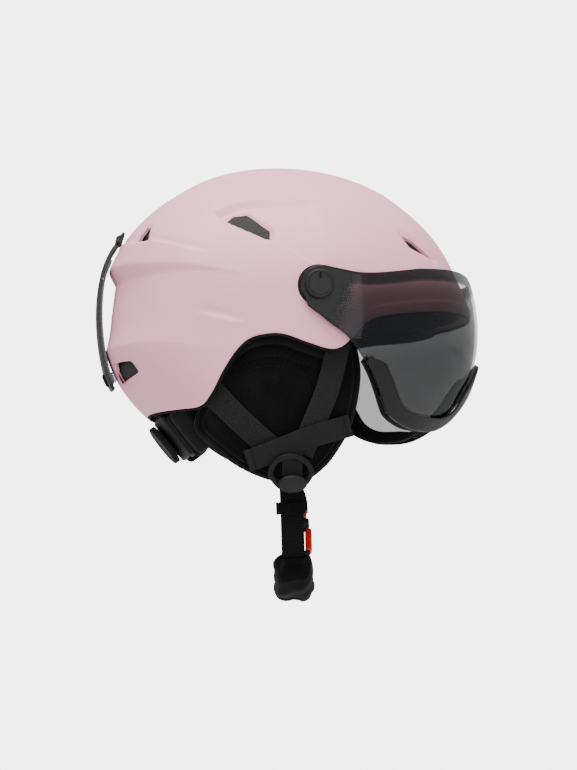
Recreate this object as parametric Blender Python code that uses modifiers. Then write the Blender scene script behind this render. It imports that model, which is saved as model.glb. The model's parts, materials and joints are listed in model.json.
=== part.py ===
"""Ski helmet with a flip-up visor, modelled as separate pieces.

Metres, +Z up.  The wearer faces -Y, so the wearer's right side is -X.
The origin is the centre of the head opening.
"""
import math

import bmesh
import bpy
from mathutils import Matrix, Vector

# ---------------------------------------------------------------- driving sizes
CENTRE_Y = 0.001            # centre of the shell's ellipsoid
CENTRE_Z = 0.052
HALF_WIDTH = 0.106          # shell half width, centre to outer face
FRONT_LENGTH = 0.144
REAR_LENGTH = 0.139
CROWN_HEIGHT = 0.116
PLAN_POWER = 2.1            # 2 is an ellipse, more is squarer
TUCK_DEPTH = 0.076          # drop below the centre at which the tuck is measured
TUCK_REAR = 0.245           # how far the rear curls in at that drop
TUCK_SIDE = 0.06

BROW_FLARE = 0.0060
SHELL_THICK = 0.0024
LINER_INSET = 0.0062
LINER_THICK = 0.0170
PAD_THICK = 0.007
PAD_GAP = 0.0016
BROW_PAD_IN = 0.0025        # the brow pad stands this much further in
NET_INSET = 0.0045
GAP = 0.0003

HUB_Y = -0.016              # visor pivot axis, along X
HUB_Z = 0.062
LENS_HALF_WIDTH = 0.1109
LENS_FRONT_Y = -0.1555
LENS_PROFILE_R = 0.125
LENS_MID_Z = 0.042
LENS_THICK = 0.0022
LENS_ROWS = 6
LENS_END_R = 0.0128
PIVOT_BASE_R = 0.0155
STUB_R = 0.004
KNOB_R = 0.0108
KNOB_INNER = 0.1112         # distance of the knob's two faces from the middle plane
KNOB_OUTER = 0.1152

WEBBING = 0.0175
WEBBING_THICK = 0.0012
PAD_DEPTH = 0.010
PAD_CURL = 0.019            # how far the ear pad's foot curls in
LEFT_FORWARD = 0.014        # how far the left pad's foot is drawn forward and up
LEFT_UP = 0.012

BAND_CENTRE = Vector((0, 0.020, 0.0083))    # centre of the fit bands' arc
DIAL_AXIS = Vector((0, 0.778, -0.629)).normalized()
BAND_AXIS = Vector((0, 0.629, 0.778)).normalized()
BAND_END = 40               # angle at which each fit band ends
PINION_R = 0.005
DIAL_R = 0.0168

CHIN_AXIS_Y = -0.005        # axis on which the chin loop swings
CHIN_AXIS_Z = -0.078

CLIP_PIN_Y = 0.1262         # axis of the goggle clip's pin
CLIP_PIN_Z = 0.1105
CLIP_WIDTH = 0.026
CLIP_THICK = 0.0046
CLIP_ANCHOR = (0.0280, 0.0050, 0.0010)      # plate under the clip's top
BUTTON_R = 0.0052
BUTTON_Y = 0.1350           # foot of the clip, where the button and its stud meet
BUTTON_Z = 0.0015

SIDES = (("right", -1), ("left", 1))
HIDDEN_X = 0.13             # a cutter reaches out to here, clear of the shell
BORE_INNER_X = 0.0985       # depth to which the pivot's hole and pocket are cut
PIVOT_HOLE_R = 0.0043
PIVOT_POCKET_R = 0.0075
HUB_DISC_R = 0.0092
HUB_DISC_INNER, HUB_DISC_OUTER = 0.1073, 0.1083
PIVOT_BASE_INNER, PIVOT_BASE_OUTER = 0.1062, 0.1070
STUB_INNER, STUB_OUTER = 0.1008, 0.1126
SOCKET_OUTER = 0.1130
RUNNING_GAP = 0.00015       # between a turning part and the stub it turns on
KNOB_MARK = (0.0014, 0.0012, 0.0050)        # slot in the knob's face
KNOB_MARK_RISE = 0.0058

TRIM_WIDTH, TRIM_THICK, TRIM_OUT = 0.0105, 0.0021, 0.0034
SEAL_WIDTH, SEAL_THICK, SEAL_OUT = 0.0080, 0.0042, -0.0038

PAD_CENTRE = (0.008, -0.024)                # middle of the ear pad in side view
PAD_FOOT = 0.082            # drop of the ear pad's foot
EAR_BAND_WIDTH, EAR_BAND_THICK = 0.0160, 0.0010
REAR_STRAP_OUT, FRONT_STRAP_OUT, EAR_BAND_OUT = 0.0025, 0.0040, 0.0053
RIVET_R, RIVET_THICK = 0.0045, 0.0007
RIVET_SPOT = (-0.033, 0.0235, 0.0022)       # y, z and stand-off
DIVIDER_Y = 0.0022
DIVIDER_OUT = 0.0088
DIVIDER_THICK = 0.0030
DIVIDER_TAPER = 0.26
DIVIDER_OUTER = (0.0172, -0.0740, 0.0148)   # half width, middle height, half height
DIVIDER_INNER = (0.0132, -0.0732, 0.0104)
CAP_SPOT = (0.0010, -0.0800)
CAP_OUT, CAP_THICK = 0.0102, 0.0030
CAP_R, CAP_FACE_R, CAP_STRETCH = 0.0064, 0.0052, 1.62

CRADLE_R, CRADLE_THICK = 0.0785, 0.0024
NECK_PAD_R, NECK_PAD_THICK = 0.0758, 0.0080
HOUSING_R, HOUSING_THICK, HOUSING_HALF = 0.0858, 0.0026, 19
WALL_R, WALL_THICK, WALL_HALF = 0.0846, 0.0055, 18.4
BAND_R, BAND_THICK, BAND_WIDTH = 0.0816, 0.0016, 0.0050
BAND_PAST_MIDDLE = 9        # angle by which each fit band passes the dial
BAND_CLEAR = 0.0006         # between the pinion and each band
GUIDE_R, GUIDE_THICK, GUIDE_HALF = 0.0846, 0.0018, 0.0045
GUIDE_ANGLES = (28.9, 36.9)
SHAFT_R, DIAL_HOLE_R = 0.0030, 0.0034
DIAL_FOOT, DIAL_TOP = 0.0872, 0.0922        # distance of the dial's faces from the arc's centre
HANGER_HALF, HANGER_THICK = 0.006, 0.0016

CHIN_PAD_WIDTH = 0.0285
CHIN_PAD_UNDER, CHIN_PAD_OVER = 0.0063, -0.0056     # stand-off of the pad's two layers
BUCKLE_BODY = (0.0185, 0.0345, 0.0096)      # across, down, thick
BUCKLE_BODY_DOWN = 0.0268
POCKET = (0.0150, 0.0270, 0.0048)
POCKET_DOWN = 0.0215
WINDOW = (0.0098, 0.0225, 0.0120)           # opening in which a tab is pressed in
WINDOW_ACROSS = 0.0087
TONGUE_HEAD, TONGUE_DOWN = (0.0150, 0.0084, 0.0080), 0.0048
BLADE, BLADE_DOWN = (0.0060, 0.0270, 0.0040), 0.0190
TAB = (0.0048, 0.0205, 0.0070)
TAB_ACROSS, TAB_DOWN = 0.0086, 0.0290
KEEPER = (0.0218, 0.0085, 0.0052)
KEEPER_HOLE = (0.0185, 0.0200, 0.0030)
KEEPER_SHIFT = 0.0008
KEEPER_POINT = 4            # point of the long strap's line at which the keeper sits

COLUMNS = 60                # round the shell
SHELL_ROWS = 14

# lower edge of the shell in side view, from the brow to the nape: (y, z)
SHELL_EDGE = [(-0.145, 0.0515), (-0.113, 0.049), (-0.068, 0.042), (-0.054, 0.037), (-0.043, 0.0255),
              (-0.034, 0.0175), (-0.025, 0.0155), (-0.008, 0.0200), (0.010, 0.0258), (0.024, 0.0255),
              (0.036, 0.0215), (0.045, 0.0125), (0.054, -0.002), (0.0605, -0.0155), (0.067, -0.0245),
              (0.078, -0.0265), (0.142, -0.026)]

# the rear recess, from the lower ridge (0) to the ledge (1), as a share of its depth
RECESS_PROFILE = [(0.0, 0.0), (0.10, 0.33), (0.25, 0.68), (0.45, 0.93), (0.62, 1.0), (0.80, 0.95), (1.0, 0.85)]

# vent openings in side view, right and left alike: (name, outline of (y, z), inner x)
VENTS = [
    ("top", [(0.048, 0.113), (0.044, 0.1165), (0.036, 0.118), (0.0195, 0.1045), (0.0195, 0.100),
             (0.022, 0.099)], 0.045),
    ("rear_top", [(0.116, 0.1025), (0.1095, 0.101), (0.107, 0.110), (0.109, 0.111)], 0.030),
    ("rear_low", [(0.1305, 0.012), (0.119, 0.011), (0.113, 0.002), (0.1245, -0.0035)], 0.014),
    ("front", [(-0.0845, 0.1078), (-0.0955, 0.1042), (-0.1115, 0.0912), (-0.0915, 0.0982)], 0.030),
]

REAR_STRAP = [(0.068, -0.004), (0.0615, -0.0135), (0.042, -0.034), (0.023, -0.051), (0.012, -0.060)]
FRONT_STRAP = [(-0.034, 0.029), (-0.030, 0.010), (-0.024, -0.014), (-0.0145, -0.038), (-0.006, -0.060)]
EAR_BAND = [(0.0345, -0.0655), (0.013, -0.0575), (-0.012, -0.0475), (-0.0425, -0.0385)]

EAR_PAD = [(0.064, -0.018), (0.072, -0.038), (0.063, -0.053), (0.041, -0.071), (0.015, -0.082),
           (-0.009, -0.082), (-0.025, -0.071), (-0.036, -0.056), (-0.044, -0.040), (-0.049, -0.018),
           (-0.050, 0.004), (-0.044, 0.024), (-0.030, 0.028), (-0.008, 0.031), (0.012, 0.0355),
           (0.028, 0.034), (0.042, 0.024), (0.055, 0.004)]


# ---------------------------------------------------------------- scene helpers
def clear_scene():
    for obj in list(bpy.data.objects):
        bpy.data.objects.remove(obj, do_unlink=True)


def make_collection(name):
    group = bpy.data.collections.new(name)
    bpy.context.scene.collection.children.link(group)
    return group


def material(name, colour, roughness, metallic=0.0, alpha=1.0):
    mat = bpy.data.materials.new(name)
    mat.use_nodes = True
    shader = mat.node_tree.nodes["Principled BSDF"]
    shader.inputs["Base Color"].default_value = (*colour, 1.0)
    shader.inputs["Roughness"].default_value = roughness
    shader.inputs["Metallic"].default_value = metallic
    shader.inputs["Alpha"].default_value = alpha
    mat.diffuse_color = (*colour, alpha)
    return mat


def add_object(name, mesh, mat, origin=(0, 0, 0), group=None):
    """Link a mesh given in world coordinates as an object whose origin is origin."""
    mesh.transform(Matrix.Translation(-Vector(origin)))
    obj = bpy.data.objects.new(name, mesh)
    obj.location = origin
    (group or PARTS).objects.link(obj)
    if mat is not None:
        obj.data.materials.append(mat)
    return obj


def smooth(obj, angle=35):
    obj.data.shade_smooth()
    obj.data.set_sharp_from_angle(angle=math.radians(angle))
    return obj


def solidify(obj, thickness):
    """Thicken an open surface on the side away from its normals."""
    mod = obj.modifiers.new("thickness", "SOLIDIFY")
    mod.thickness = thickness
    mod.offset = -1
    mod.use_even_offset = True
    return obj


def boolean(obj, cutter, operation="DIFFERENCE"):
    mod = obj.modifiers.new(cutter.name, "BOOLEAN")
    mod.operation = operation
    mod.object = cutter
    mod.solver = "EXACT"
    cutter.hide_render = True
    cutter.display_type = "WIRE"


def grid_mesh(name, rows, closed=False, pole=None):
    """Mesh from rows of points; closed joins each row's ends, pole caps the first row."""
    bm = bmesh.new()
    lines = [[bm.verts.new(p) for p in row] for row in rows]
    count = len(rows[0])
    last = count if closed else count - 1
    for upper, lower in zip(lines, lines[1:]):
        for j in range(last):
            k = (j + 1) % count
            bm.faces.new((upper[j], lower[j], lower[k], upper[k]))
    if pole is not None:
        tip = bm.verts.new(pole)
        for j in range(last):
            bm.faces.new((tip, lines[0][j], lines[0][(j + 1) % count]))
    mesh = bpy.data.meshes.new(name)
    bm.to_mesh(mesh)
    bm.free()
    return mesh


def prism_mesh(name, outline, direction):
    """Closed prism from a flat outline of 3-D points, extruded along direction."""
    bm = bmesh.new()
    face = bm.faces.new([bm.verts.new(p) for p in outline])
    grown = bmesh.ops.extrude_face_region(bm, geom=[face])
    moved = [v for v in grown["geom"] if isinstance(v, bmesh.types.BMVert)]
    bmesh.ops.translate(bm, verts=moved, vec=direction)
    bmesh.ops.recalc_face_normals(bm, faces=bm.faces)
    mesh = bpy.data.meshes.new(name)
    bm.to_mesh(mesh)
    bm.free()
    return mesh


def cylinder_mesh(name, radius, start, end, segments=28, radius_end=None):
    """Closed cylinder or cone from start to end."""
    start, end = Vector(start), Vector(end)
    axis = end - start
    turn = axis.to_track_quat("Z", "Y").to_matrix().to_4x4()
    place = Matrix.Translation((start + end) / 2) @ turn
    bm = bmesh.new()
    bmesh.ops.create_cone(bm, cap_ends=True, segments=segments, radius1=radius,
                          radius2=radius if radius_end is None else radius_end, depth=axis.length,
                          matrix=place)
    mesh = bpy.data.meshes.new(name)
    bm.to_mesh(mesh)
    bm.free()
    return mesh


def box_mesh(name, size, frame):
    """Box of the given size, centred on the 4x4 frame."""
    bm = bmesh.new()
    bmesh.ops.create_cube(bm, size=1.0, matrix=frame @ Matrix.Diagonal((*size, 1.0)))
    bmesh.ops.recalc_face_normals(bm, faces=bm.faces)
    mesh = bpy.data.meshes.new(name)
    bm.to_mesh(mesh)
    bm.free()
    return mesh


# ---------------------------------------------------------------- curves
def curve_at(points, x):
    """Smooth curve through (x, value) points, level beyond the ends."""
    if x <= points[0][0]:
        return points[0][1]
    if x >= points[-1][0]:
        return points[-1][1]
    k = max(i for i in range(len(points) - 1) if points[i][0] <= x)

    def slope(i):
        low, high = max(i - 1, 0), min(i + 1, len(points) - 1)
        return (points[high][1] - points[low][1]) / (points[high][0] - points[low][0])

    (x0, v0), (x1, v1) = points[k], points[k + 1]
    h = x1 - x0
    t = (x - x0) / h
    return ((2 * t**3 - 3 * t**2 + 1) * v0 + (t**3 - 2 * t**2 + t) * h * slope(k)
            + (3 * t**2 - 2 * t**3) * v1 + (t**3 - t**2) * h * slope(k + 1))


def ramp(value, low, high):
    """0 below low, 1 above high, smooth between."""
    t = min(1.0, max(0.0, (value - low) / (high - low)))
    return t * t * (3 - 2 * t)


def polyline(points, count):
    """Points read evenly from a smooth curve through the given 3-D points."""
    pts = [Vector(p) for p in points]
    out = []
    for i in range(count):
        s = i * (len(pts) - 1) / (count - 1)
        k = min(int(s), len(pts) - 2)
        t = s - k
        p0, p1 = pts[max(k - 1, 0)], pts[k]
        p2, p3 = pts[k + 1], pts[min(k + 2, len(pts) - 1)]
        out.append(0.5 * (2 * p1 + (p2 - p0) * t + (2 * p0 - 5 * p1 + 4 * p2 - p3) * t**2
                          + (3 * p1 - p0 - 3 * p2 + p3) * t**3))
    return out


# ---------------------------------------------------------------- shell surface
def plan_radius(theta, inset=0.0):
    """Distance from the centre to the shell, at its widest level; theta 0 is +X."""
    length = (REAR_LENGTH if math.sin(theta) > 0 else FRONT_LENGTH) - inset
    across = abs(math.cos(theta)) / (HALF_WIDTH - inset)
    along = abs(math.sin(theta)) / length
    return (across**PLAN_POWER + along**PLAN_POWER) ** (-1 / PLAN_POWER)


def ledge_height(y):
    """Height of the rear ledge under which the shell steps in."""
    return curve_at([(0.030, 0.068), (0.052, 0.074), (0.086, 0.081), (0.118, 0.0848), (0.134, 0.087)], y)


def lower_ridge_height(y):
    return curve_at([(0.060, 0.016), (0.072, 0.018), (0.100, 0.0227), (0.136, 0.0235)], y)


def rear_recess(y, z):
    """How far the shell steps in between the ledge and the lower ridge."""
    depth = curve_at([(0.035, 0.0), (0.070, 0.0020), (0.100, 0.0046), (0.125, 0.0085), (0.135, 0.0094)], y)
    top, low = ledge_height(y), lower_ridge_height(y)
    step = ramp(top - z, 0.0, curve_at([(0.060, 0.003), (0.130, 0.012)], y))
    hollow = curve_at(RECESS_PROFILE, (z - low) / (top - low))
    return depth * step * hollow


def wide_recess(y, z):
    """Smooth hollow that stays inside the recess, for the liner."""
    depth = curve_at([(0.030, 0.0), (0.080, 0.004), (0.125, 0.0095), (0.135, 0.0105)], y)
    return depth * ramp(z, 0.005, 0.030) * (1 - ramp(z, 0.088, 0.112))


def brow_flare(theta, z):
    """How far the shell's brow stands forward of the plain dome."""
    return BROW_FLARE * (1 - ramp(z, 0.050, 0.090)) * ramp(-math.sin(theta), 0.30, 0.95)


def shell_point(theta, z, inset=0.0, recess=rear_recess):
    """Point of the shell's outer surface, or of the surface inset from it."""
    drop = z - CENTRE_Z
    base = plan_radius(theta, inset)
    if drop >= 0:
        rho = base * math.sqrt(max(0.0, 1 - (drop / (CROWN_HEIGHT - inset)) ** 2))
    else:
        tuck = TUCK_REAR * max(0.0, math.sin(theta)) ** 2 + TUCK_SIDE * math.cos(theta) ** 2
        sink = -drop / TUCK_DEPTH
        rho = base * (1 - tuck * (0.37 * sink**1.4 + 0.63 * sink**3))
    rho += brow_flare(theta, z)
    y = CENTRE_Y + rho * math.sin(theta)
    rho -= recess(y, z) * ramp(math.sin(theta), 0.0, 0.3)
    return Vector((rho * math.cos(theta), CENTRE_Y + rho * math.sin(theta), z))


def edge_z(theta, edge, inset, recess):
    """Height at which the column at theta meets the edge curve edge(y)."""
    z = CENTRE_Z
    for _ in range(12):
        z = 0.5 * z + 0.5 * edge(shell_point(theta, z, inset, recess).y)
    return z


def shell_edge(y):
    return curve_at(SHELL_EDGE, y)


def liner_edge(y):
    """The foam stops short of the shell's edge, and higher still over the ears."""
    lift = 0.018 * ramp(y, -0.062, -0.046) * (1 - ramp(y, 0.070, 0.095)) + 0.002
    bridge = 0.020 * ramp(y, 0.040, 0.062) * (1 - ramp(y, 0.070, 0.095))
    return shell_edge(y) + lift + bridge


def dome_rows(inset, edge, rows, recess):
    """Rows of points from near the crown down to the edge, all round."""
    thetas = [2 * math.pi * j / COLUMNS for j in range(COLUMNS)]
    height = CROWN_HEIGHT - inset
    lows = [edge_z(t, edge, inset, recess) for t in thetas]
    grid = []
    for i in range(1, rows + 1):
        row = []
        for theta, low in zip(thetas, lows):
            polar = math.acos((low - CENTRE_Z) / height) * i / rows
            row.append(shell_point(theta, CENTRE_Z + height * math.cos(polar), inset, recess))
        grid.append(row)
    return grid


def dome_mesh(name, inset, edge, rows, recess):
    crown = Vector((0, CENTRE_Y, CENTRE_Z + CROWN_HEIGHT - inset))
    return grid_mesh(name, dome_rows(inset, edge, rows, recess), closed=True, pole=crown)


def patch_mesh(name, theta_range, z_range, inset, columns, rows):
    """Open patch of the surface at the given inset; angles in degrees."""
    (t0, t1), (z0, z1) = theta_range, z_range
    grid = []
    for i in range(rows + 1):
        z = z1 + (z0 - z1) * i / rows
        grid.append([shell_point(math.radians(t0 + (t1 - t0) * j / columns), z, inset, wide_recess)
                     for j in range(columns + 1)])
    return grid_mesh(name, grid)


# ---------------------------------------------------------------- sides of the head
def side_x(y, z):
    """Outer face of the ear pad before it curls in, as a distance from the middle plane."""
    bow = 2.6 * max(0.0, y - 0.005) ** 2 + 1.5 * min(0.0, y - 0.005) ** 2
    bow += min(40 * max(0.0, y - 0.050) ** 2, 0.008)
    return 0.097 - (0.025 - z) * 0.17 - bow


def curl(z):
    """How far the soft ear pad curls in towards the neck at a height."""
    return PAD_CURL * max(0.0, -z / PAD_FOOT) ** 1.6


def on_side(y, z, out, side):
    """Point standing out from the ear pad's face; side is -1 for right, 1 for left.

    The left pad hangs a little further forward and higher, drawn by the buckle's side of the chin loop.
    """
    tuck = curl(z)
    low = max(0.0, -z / PAD_FOOT)
    drawn = low if side > 0 else 0.0
    slope = PAD_CURL * 1.6 * low**0.6 / PAD_FOOT
    lift = out * slope / math.hypot(1.0, slope)
    out /= math.hypot(1.0, slope)
    return Vector((side * (side_x(y, z) - tuck + out), y - 0.12 * tuck - LEFT_FORWARD * drawn,
                   z + 0.11 * tuck + LEFT_UP * drawn - lift))


def strap_mesh(name, centre, width, out, side, count=10):
    """Webbing that follows the ear pad's face; out is its outer face's stand-off."""
    line = polyline([(0, y, z) for y, z in centre], count)
    rows = []
    for i, p in enumerate(line):
        ahead = line[min(i + 1, count - 1)] - line[max(i - 1, 0)]
        across = Vector((0, -ahead.z, ahead.y)).normalized() * width / 2
        ends = [p + across * s for s in (-1, 0, 1)]
        rows.append([on_side(e.y, e.z, out, side) for e in ends])
    return facing(grid_mesh(name, rows), Vector((side, 0, 0)))


def facing(mesh, direction):
    """Flip an open surface if its first face looks away from direction."""
    if mesh.polygons[0].normal.dot(direction) < 0:
        mesh.flip_normals()
    return mesh


def fan_rows(outline, centre, rings):
    """Rings of an outline scaled about its centre, outermost last."""
    return [[(centre[0] + (y - centre[0]) * s, centre[1] + (z - centre[1]) * s) for y, z in outline]
            for s in rings]


# ---------------------------------------------------------------- builders
def build_shell(mats):
    shell = smooth(add_object("outer_shell", dome_mesh("outer_shell", 0, shell_edge, SHELL_ROWS,
                                                      rear_recess), mats["shell"]), 60)
    solidify(shell, SHELL_THICK)
    liner = smooth(add_object("eps_liner", dome_mesh("eps_liner", LINER_INSET, liner_edge, 9,
                                                    wide_recess), mats["foam"]), 60)
    solidify(liner, LINER_THICK)
    for name, outline, inner in VENTS:
        for label, side in SIDES:
            flat = [Vector((side * inner, y, z)) for y, z in outline]
            mesh = prism_mesh("cut", flat, Vector((side * (HIDDEN_X - inner), 0, 0)))
            cutter = add_object(f"cut_{name}_{label}", mesh, None, group=CUTTERS)
            boolean(shell, cutter)
            boolean(liner, cutter)
    for label, side in SIDES:
        inner, outer = (side * BORE_INNER_X, HUB_Y, HUB_Z), (side * HIDDEN_X, HUB_Y, HUB_Z)
        mesh = cylinder_mesh("cut", PIVOT_HOLE_R, inner, outer)
        boolean(shell, add_object(f"cut_pivot_{label}", mesh, None, group=CUTTERS))
        mesh = cylinder_mesh("cut", PIVOT_POCKET_R, inner, outer)
        boolean(liner, add_object(f"cut_pocket_{label}", mesh, None, group=CUTTERS))
    build_edge_trim(mats)


def build_edge_trim(mats):
    """Thin rubber lip hung just under the shell's lower edge."""
    edge = dome_rows(0, shell_edge, SHELL_ROWS, rear_recess)
    rim, above = edge[-1], edge[-2]
    rows = []
    for out, down in ((-0.0004, GAP), (-0.0004, 0.0021), (-0.0026, 0.0021), (-0.0026, GAP)):
        row = []
        for j, p in enumerate(rim):
            along = (rim[(j + 1) % COLUMNS] - rim[j - 1]).normalized()
            normal = along.cross(above[j] - p).normalized()
            if normal.dot(Vector((p.x, p.y - CENTRE_Y, 0))) < 0:
                normal.negate()
            below = along.cross(normal).normalized()
            if below.z > 0:
                below.negate()
            row.append(p + normal * out + below * down)
        rows.append(row)
    bm = bmesh.new()
    lines = [[bm.verts.new(p) for p in row] for row in rows]
    for a in range(4):
        for j in range(COLUMNS):
            k = (j + 1) % COLUMNS
            upper, lower = lines[a], lines[(a + 1) % 4]
            bm.faces.new((upper[j], lower[j], lower[k], upper[k]))
    bmesh.ops.recalc_face_normals(bm, faces=bm.faces)
    mesh = bpy.data.meshes.new("edge_trim")
    bm.to_mesh(mesh)
    bm.free()
    add_object("edge_trim", mesh, mats["rubber"])


def build_nets(mats):
    """Thin net patches between shell and liner, behind the vents."""
    patches = {"top_right": ((141, 169), (0.096, 0.120), 3), "front_right": ((228, 244), (0.090, 0.109), 3),
               "top_left": ((11, 39), (0.096, 0.120), 3), "front_left": ((296, 312), (0.090, 0.109), 3),
               "rear_top": ((64, 116), (0.097, 0.1125), 8), "rear_low": ((63, 117), (-0.006, 0.013), 8)}
    for vent, (theta, height, columns) in patches.items():
        middle = math.radians(sum(theta) / 2)
        mesh = patch_mesh("net", theta, height, NET_INSET, columns, 3)
        outwards = Vector((math.cos(middle), math.sin(middle), 0.3))
        net = add_object(f"vent_net_{vent}", facing(mesh, outwards), mats["net"])
        solidify(net, 0.0006)


def build_comfort_pads(mats):
    """Fabric-covered pads on the liner's inner face."""
    inset = LINER_INSET + LINER_THICK + PAD_GAP
    rows = []
    count = 20
    height = CROWN_HEIGHT - inset
    for polar in (14, 27, 40):
        z = CENTRE_Z + height * math.cos(math.radians(polar))
        rows.append([shell_point(2 * math.pi * j / count, z, inset, wide_recess) for j in range(count)])
    crown = grid_mesh("crown_pad", rows, closed=True, pole=Vector((0, CENTRE_Y, CENTRE_Z + height)))
    solidify(smooth(add_object("crown_pad", crown, mats["knit"])), PAD_THICK)

    patch = patch_mesh("brow_pad", (212, 328), (0.047, 0.072), inset + BROW_PAD_IN, 14, 2)
    brow = facing(patch, Vector((-1, -1, 0)))
    solidify(smooth(add_object("brow_pad", brow, mats["knit"])), PAD_THICK)
    for label, turn in (("right", (148, 204)), ("left", (-24, 32))):
        facing_to = Vector((-1, 0, 0)) if label == "right" else Vector((1, 0, 0))
        side = facing(patch_mesh("side_pad", turn, (0.060, 0.088), inset, 7, 2), facing_to)
        solidify(smooth(add_object(f"side_pad_{label}", side, mats["knit"])), PAD_THICK)


def build_ear_side(mats, label, side):
    """Ear pad, webbing, divider and anchors of one side."""
    rows = fan_rows(EAR_PAD, PAD_CENTRE, (0.4, 0.75, 1.0))
    rows = [[on_side(y, z, 0, side) for y, z in row] for row in rows]
    pad = grid_mesh("ear_pad", rows, closed=True, pole=on_side(*PAD_CENTRE, 0, side))
    pad = add_object(f"ear_pad_{label}", facing(pad, Vector((side, 0, 0))), mats["fleece"])
    solidify(smooth(pad, 50), PAD_DEPTH)

    rear = strap_mesh("rear_strap", REAR_STRAP, WEBBING, REAR_STRAP_OUT, side)
    solidify(add_object(f"rear_strap_{label}", rear, mats["webbing"]), WEBBING_THICK)
    front = strap_mesh("front_strap", FRONT_STRAP, WEBBING, FRONT_STRAP_OUT, side)
    solidify(add_object(f"front_strap_{label}", front, mats["webbing"]), WEBBING_THICK)
    band = strap_mesh("ear_band", EAR_BAND, EAR_BAND_WIDTH, EAR_BAND_OUT, side)
    solidify(add_object(f"ear_band_{label}", band, mats["elastic"]), EAR_BAND_THICK)
    build_divider(mats, label, side)

    face = on_side(*RIVET_SPOT, side)
    normal = Vector((side, -0.114, -0.17)).normalized()
    rivet = cylinder_mesh("strap_rivet", RIVET_R, face, face - normal * RIVET_THICK, 16)
    add_object(f"strap_rivet_{label}", rivet, mats["steel"])


def build_divider(mats, label, side):
    """Strap divider: an open loop with an oval locking cap at its foot."""
    rings = []
    for half_width, middle, half_height in (DIVIDER_OUTER, DIVIDER_INNER):
        ring = []
        for k in range(20):
            a = 2 * math.pi * k / 20
            taper = 1.0 if math.sin(a) > 0 else 1.0 + DIVIDER_TAPER * math.sin(a)
            spot = on_side(DIVIDER_Y, middle + half_height * math.sin(a), DIVIDER_OUT, side)
            ring.append(spot + Vector((0, half_width * taper * math.cos(a), 0)))
        rings.append(ring)
    loop = facing(grid_mesh("strap_divider", rings, closed=True), Vector((side, 0, 0)))
    solidify(smooth(add_object(f"strap_divider_{label}", loop, mats["hard_black"])), DIVIDER_THICK)

    face = on_side(*CAP_SPOT, CAP_OUT, side)
    normal = (face - on_side(*CAP_SPOT, 0, side)).normalized()
    cap = cylinder_mesh("divider_cap", CAP_R, face, face + normal * CAP_THICK, 24, radius_end=CAP_FACE_R)
    stretch = Matrix.Translation(face) @ Matrix.Diagonal((1, CAP_STRETCH, 1, 1)) @ Matrix.Translation(-face)
    cap.transform(stretch)
    smooth(add_object(f"divider_cap_{label}", cap, mats["hard_black"]))


def lens_half_width(z):
    return LENS_HALF_WIDTH - 2.9 * max(0.0, 0.045 - z) ** 2


def lens_point(angle, z, out=0.0):
    """Point on the lens's outer face; angle 0 is at the pivot, 90 at the middle."""
    bulge = LENS_PROFILE_R - math.sqrt(LENS_PROFILE_R**2 - (z - LENS_MID_Z) ** 2)
    length = HUB_Y - (LENS_FRONT_Y + bulge) + out
    width = lens_half_width(z) + out
    a = math.radians(angle)
    return Vector((-width * math.cos(a), HUB_Y - length * math.sin(a), z))


def lens_top(angle):
    return curve_at([(0, 0.0773), (6, 0.0745), (13, 0.0722), (20, 0.0730), (30, 0.0765), (37, 0.079),
                     (60, 0.0825), (90, 0.0800)], angle)


def lens_bottom(angle):
    return curve_at([(0, 0.0455), (4, 0.0345), (9, 0.024), (15.5, 0.0057), (24, -0.021), (28.5, -0.0305),
                     (37, -0.0370), (46, -0.0395), (59, -0.0385), (68, -0.0315), (75, -0.0200),
                     (83, -0.0030), (90, 0.0030)], angle)


def lens_span(angle):
    """Bottom and top of the lens at an angle, with the round end at the pivot."""
    low, high = lens_bottom(angle), lens_top(angle)
    y = lens_point(angle, HUB_Z).y - HUB_Y
    if y > -0.004:
        half = math.sqrt(max(LENS_END_R**2 - y * y, 0.0048**2))
        blend = ramp(angle, 0.0, 1.6)
        high = high * blend + (HUB_Z + half) * (1 - blend)
        low = low * blend + (HUB_Z - half) * (1 - blend)
    return low, high


TRIM_ANGLES = [15, 20, 25, 31, 38, 46, 54, 62, 69, 75, 80, 85]
LENS_ANGLES = [-5.9, -5.2, -4.2, -2.8, -1.2, 0.6, 3, 6, 10] + TRIM_ANGLES


def both_sides(angles):
    """Angles from one pivot round the front to the other; the far side as (180 - angle)."""
    return angles + [90] + [180 - a for a in reversed(angles)]


def near_angle(angle):
    return angle if angle <= 90 else 180 - angle


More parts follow.
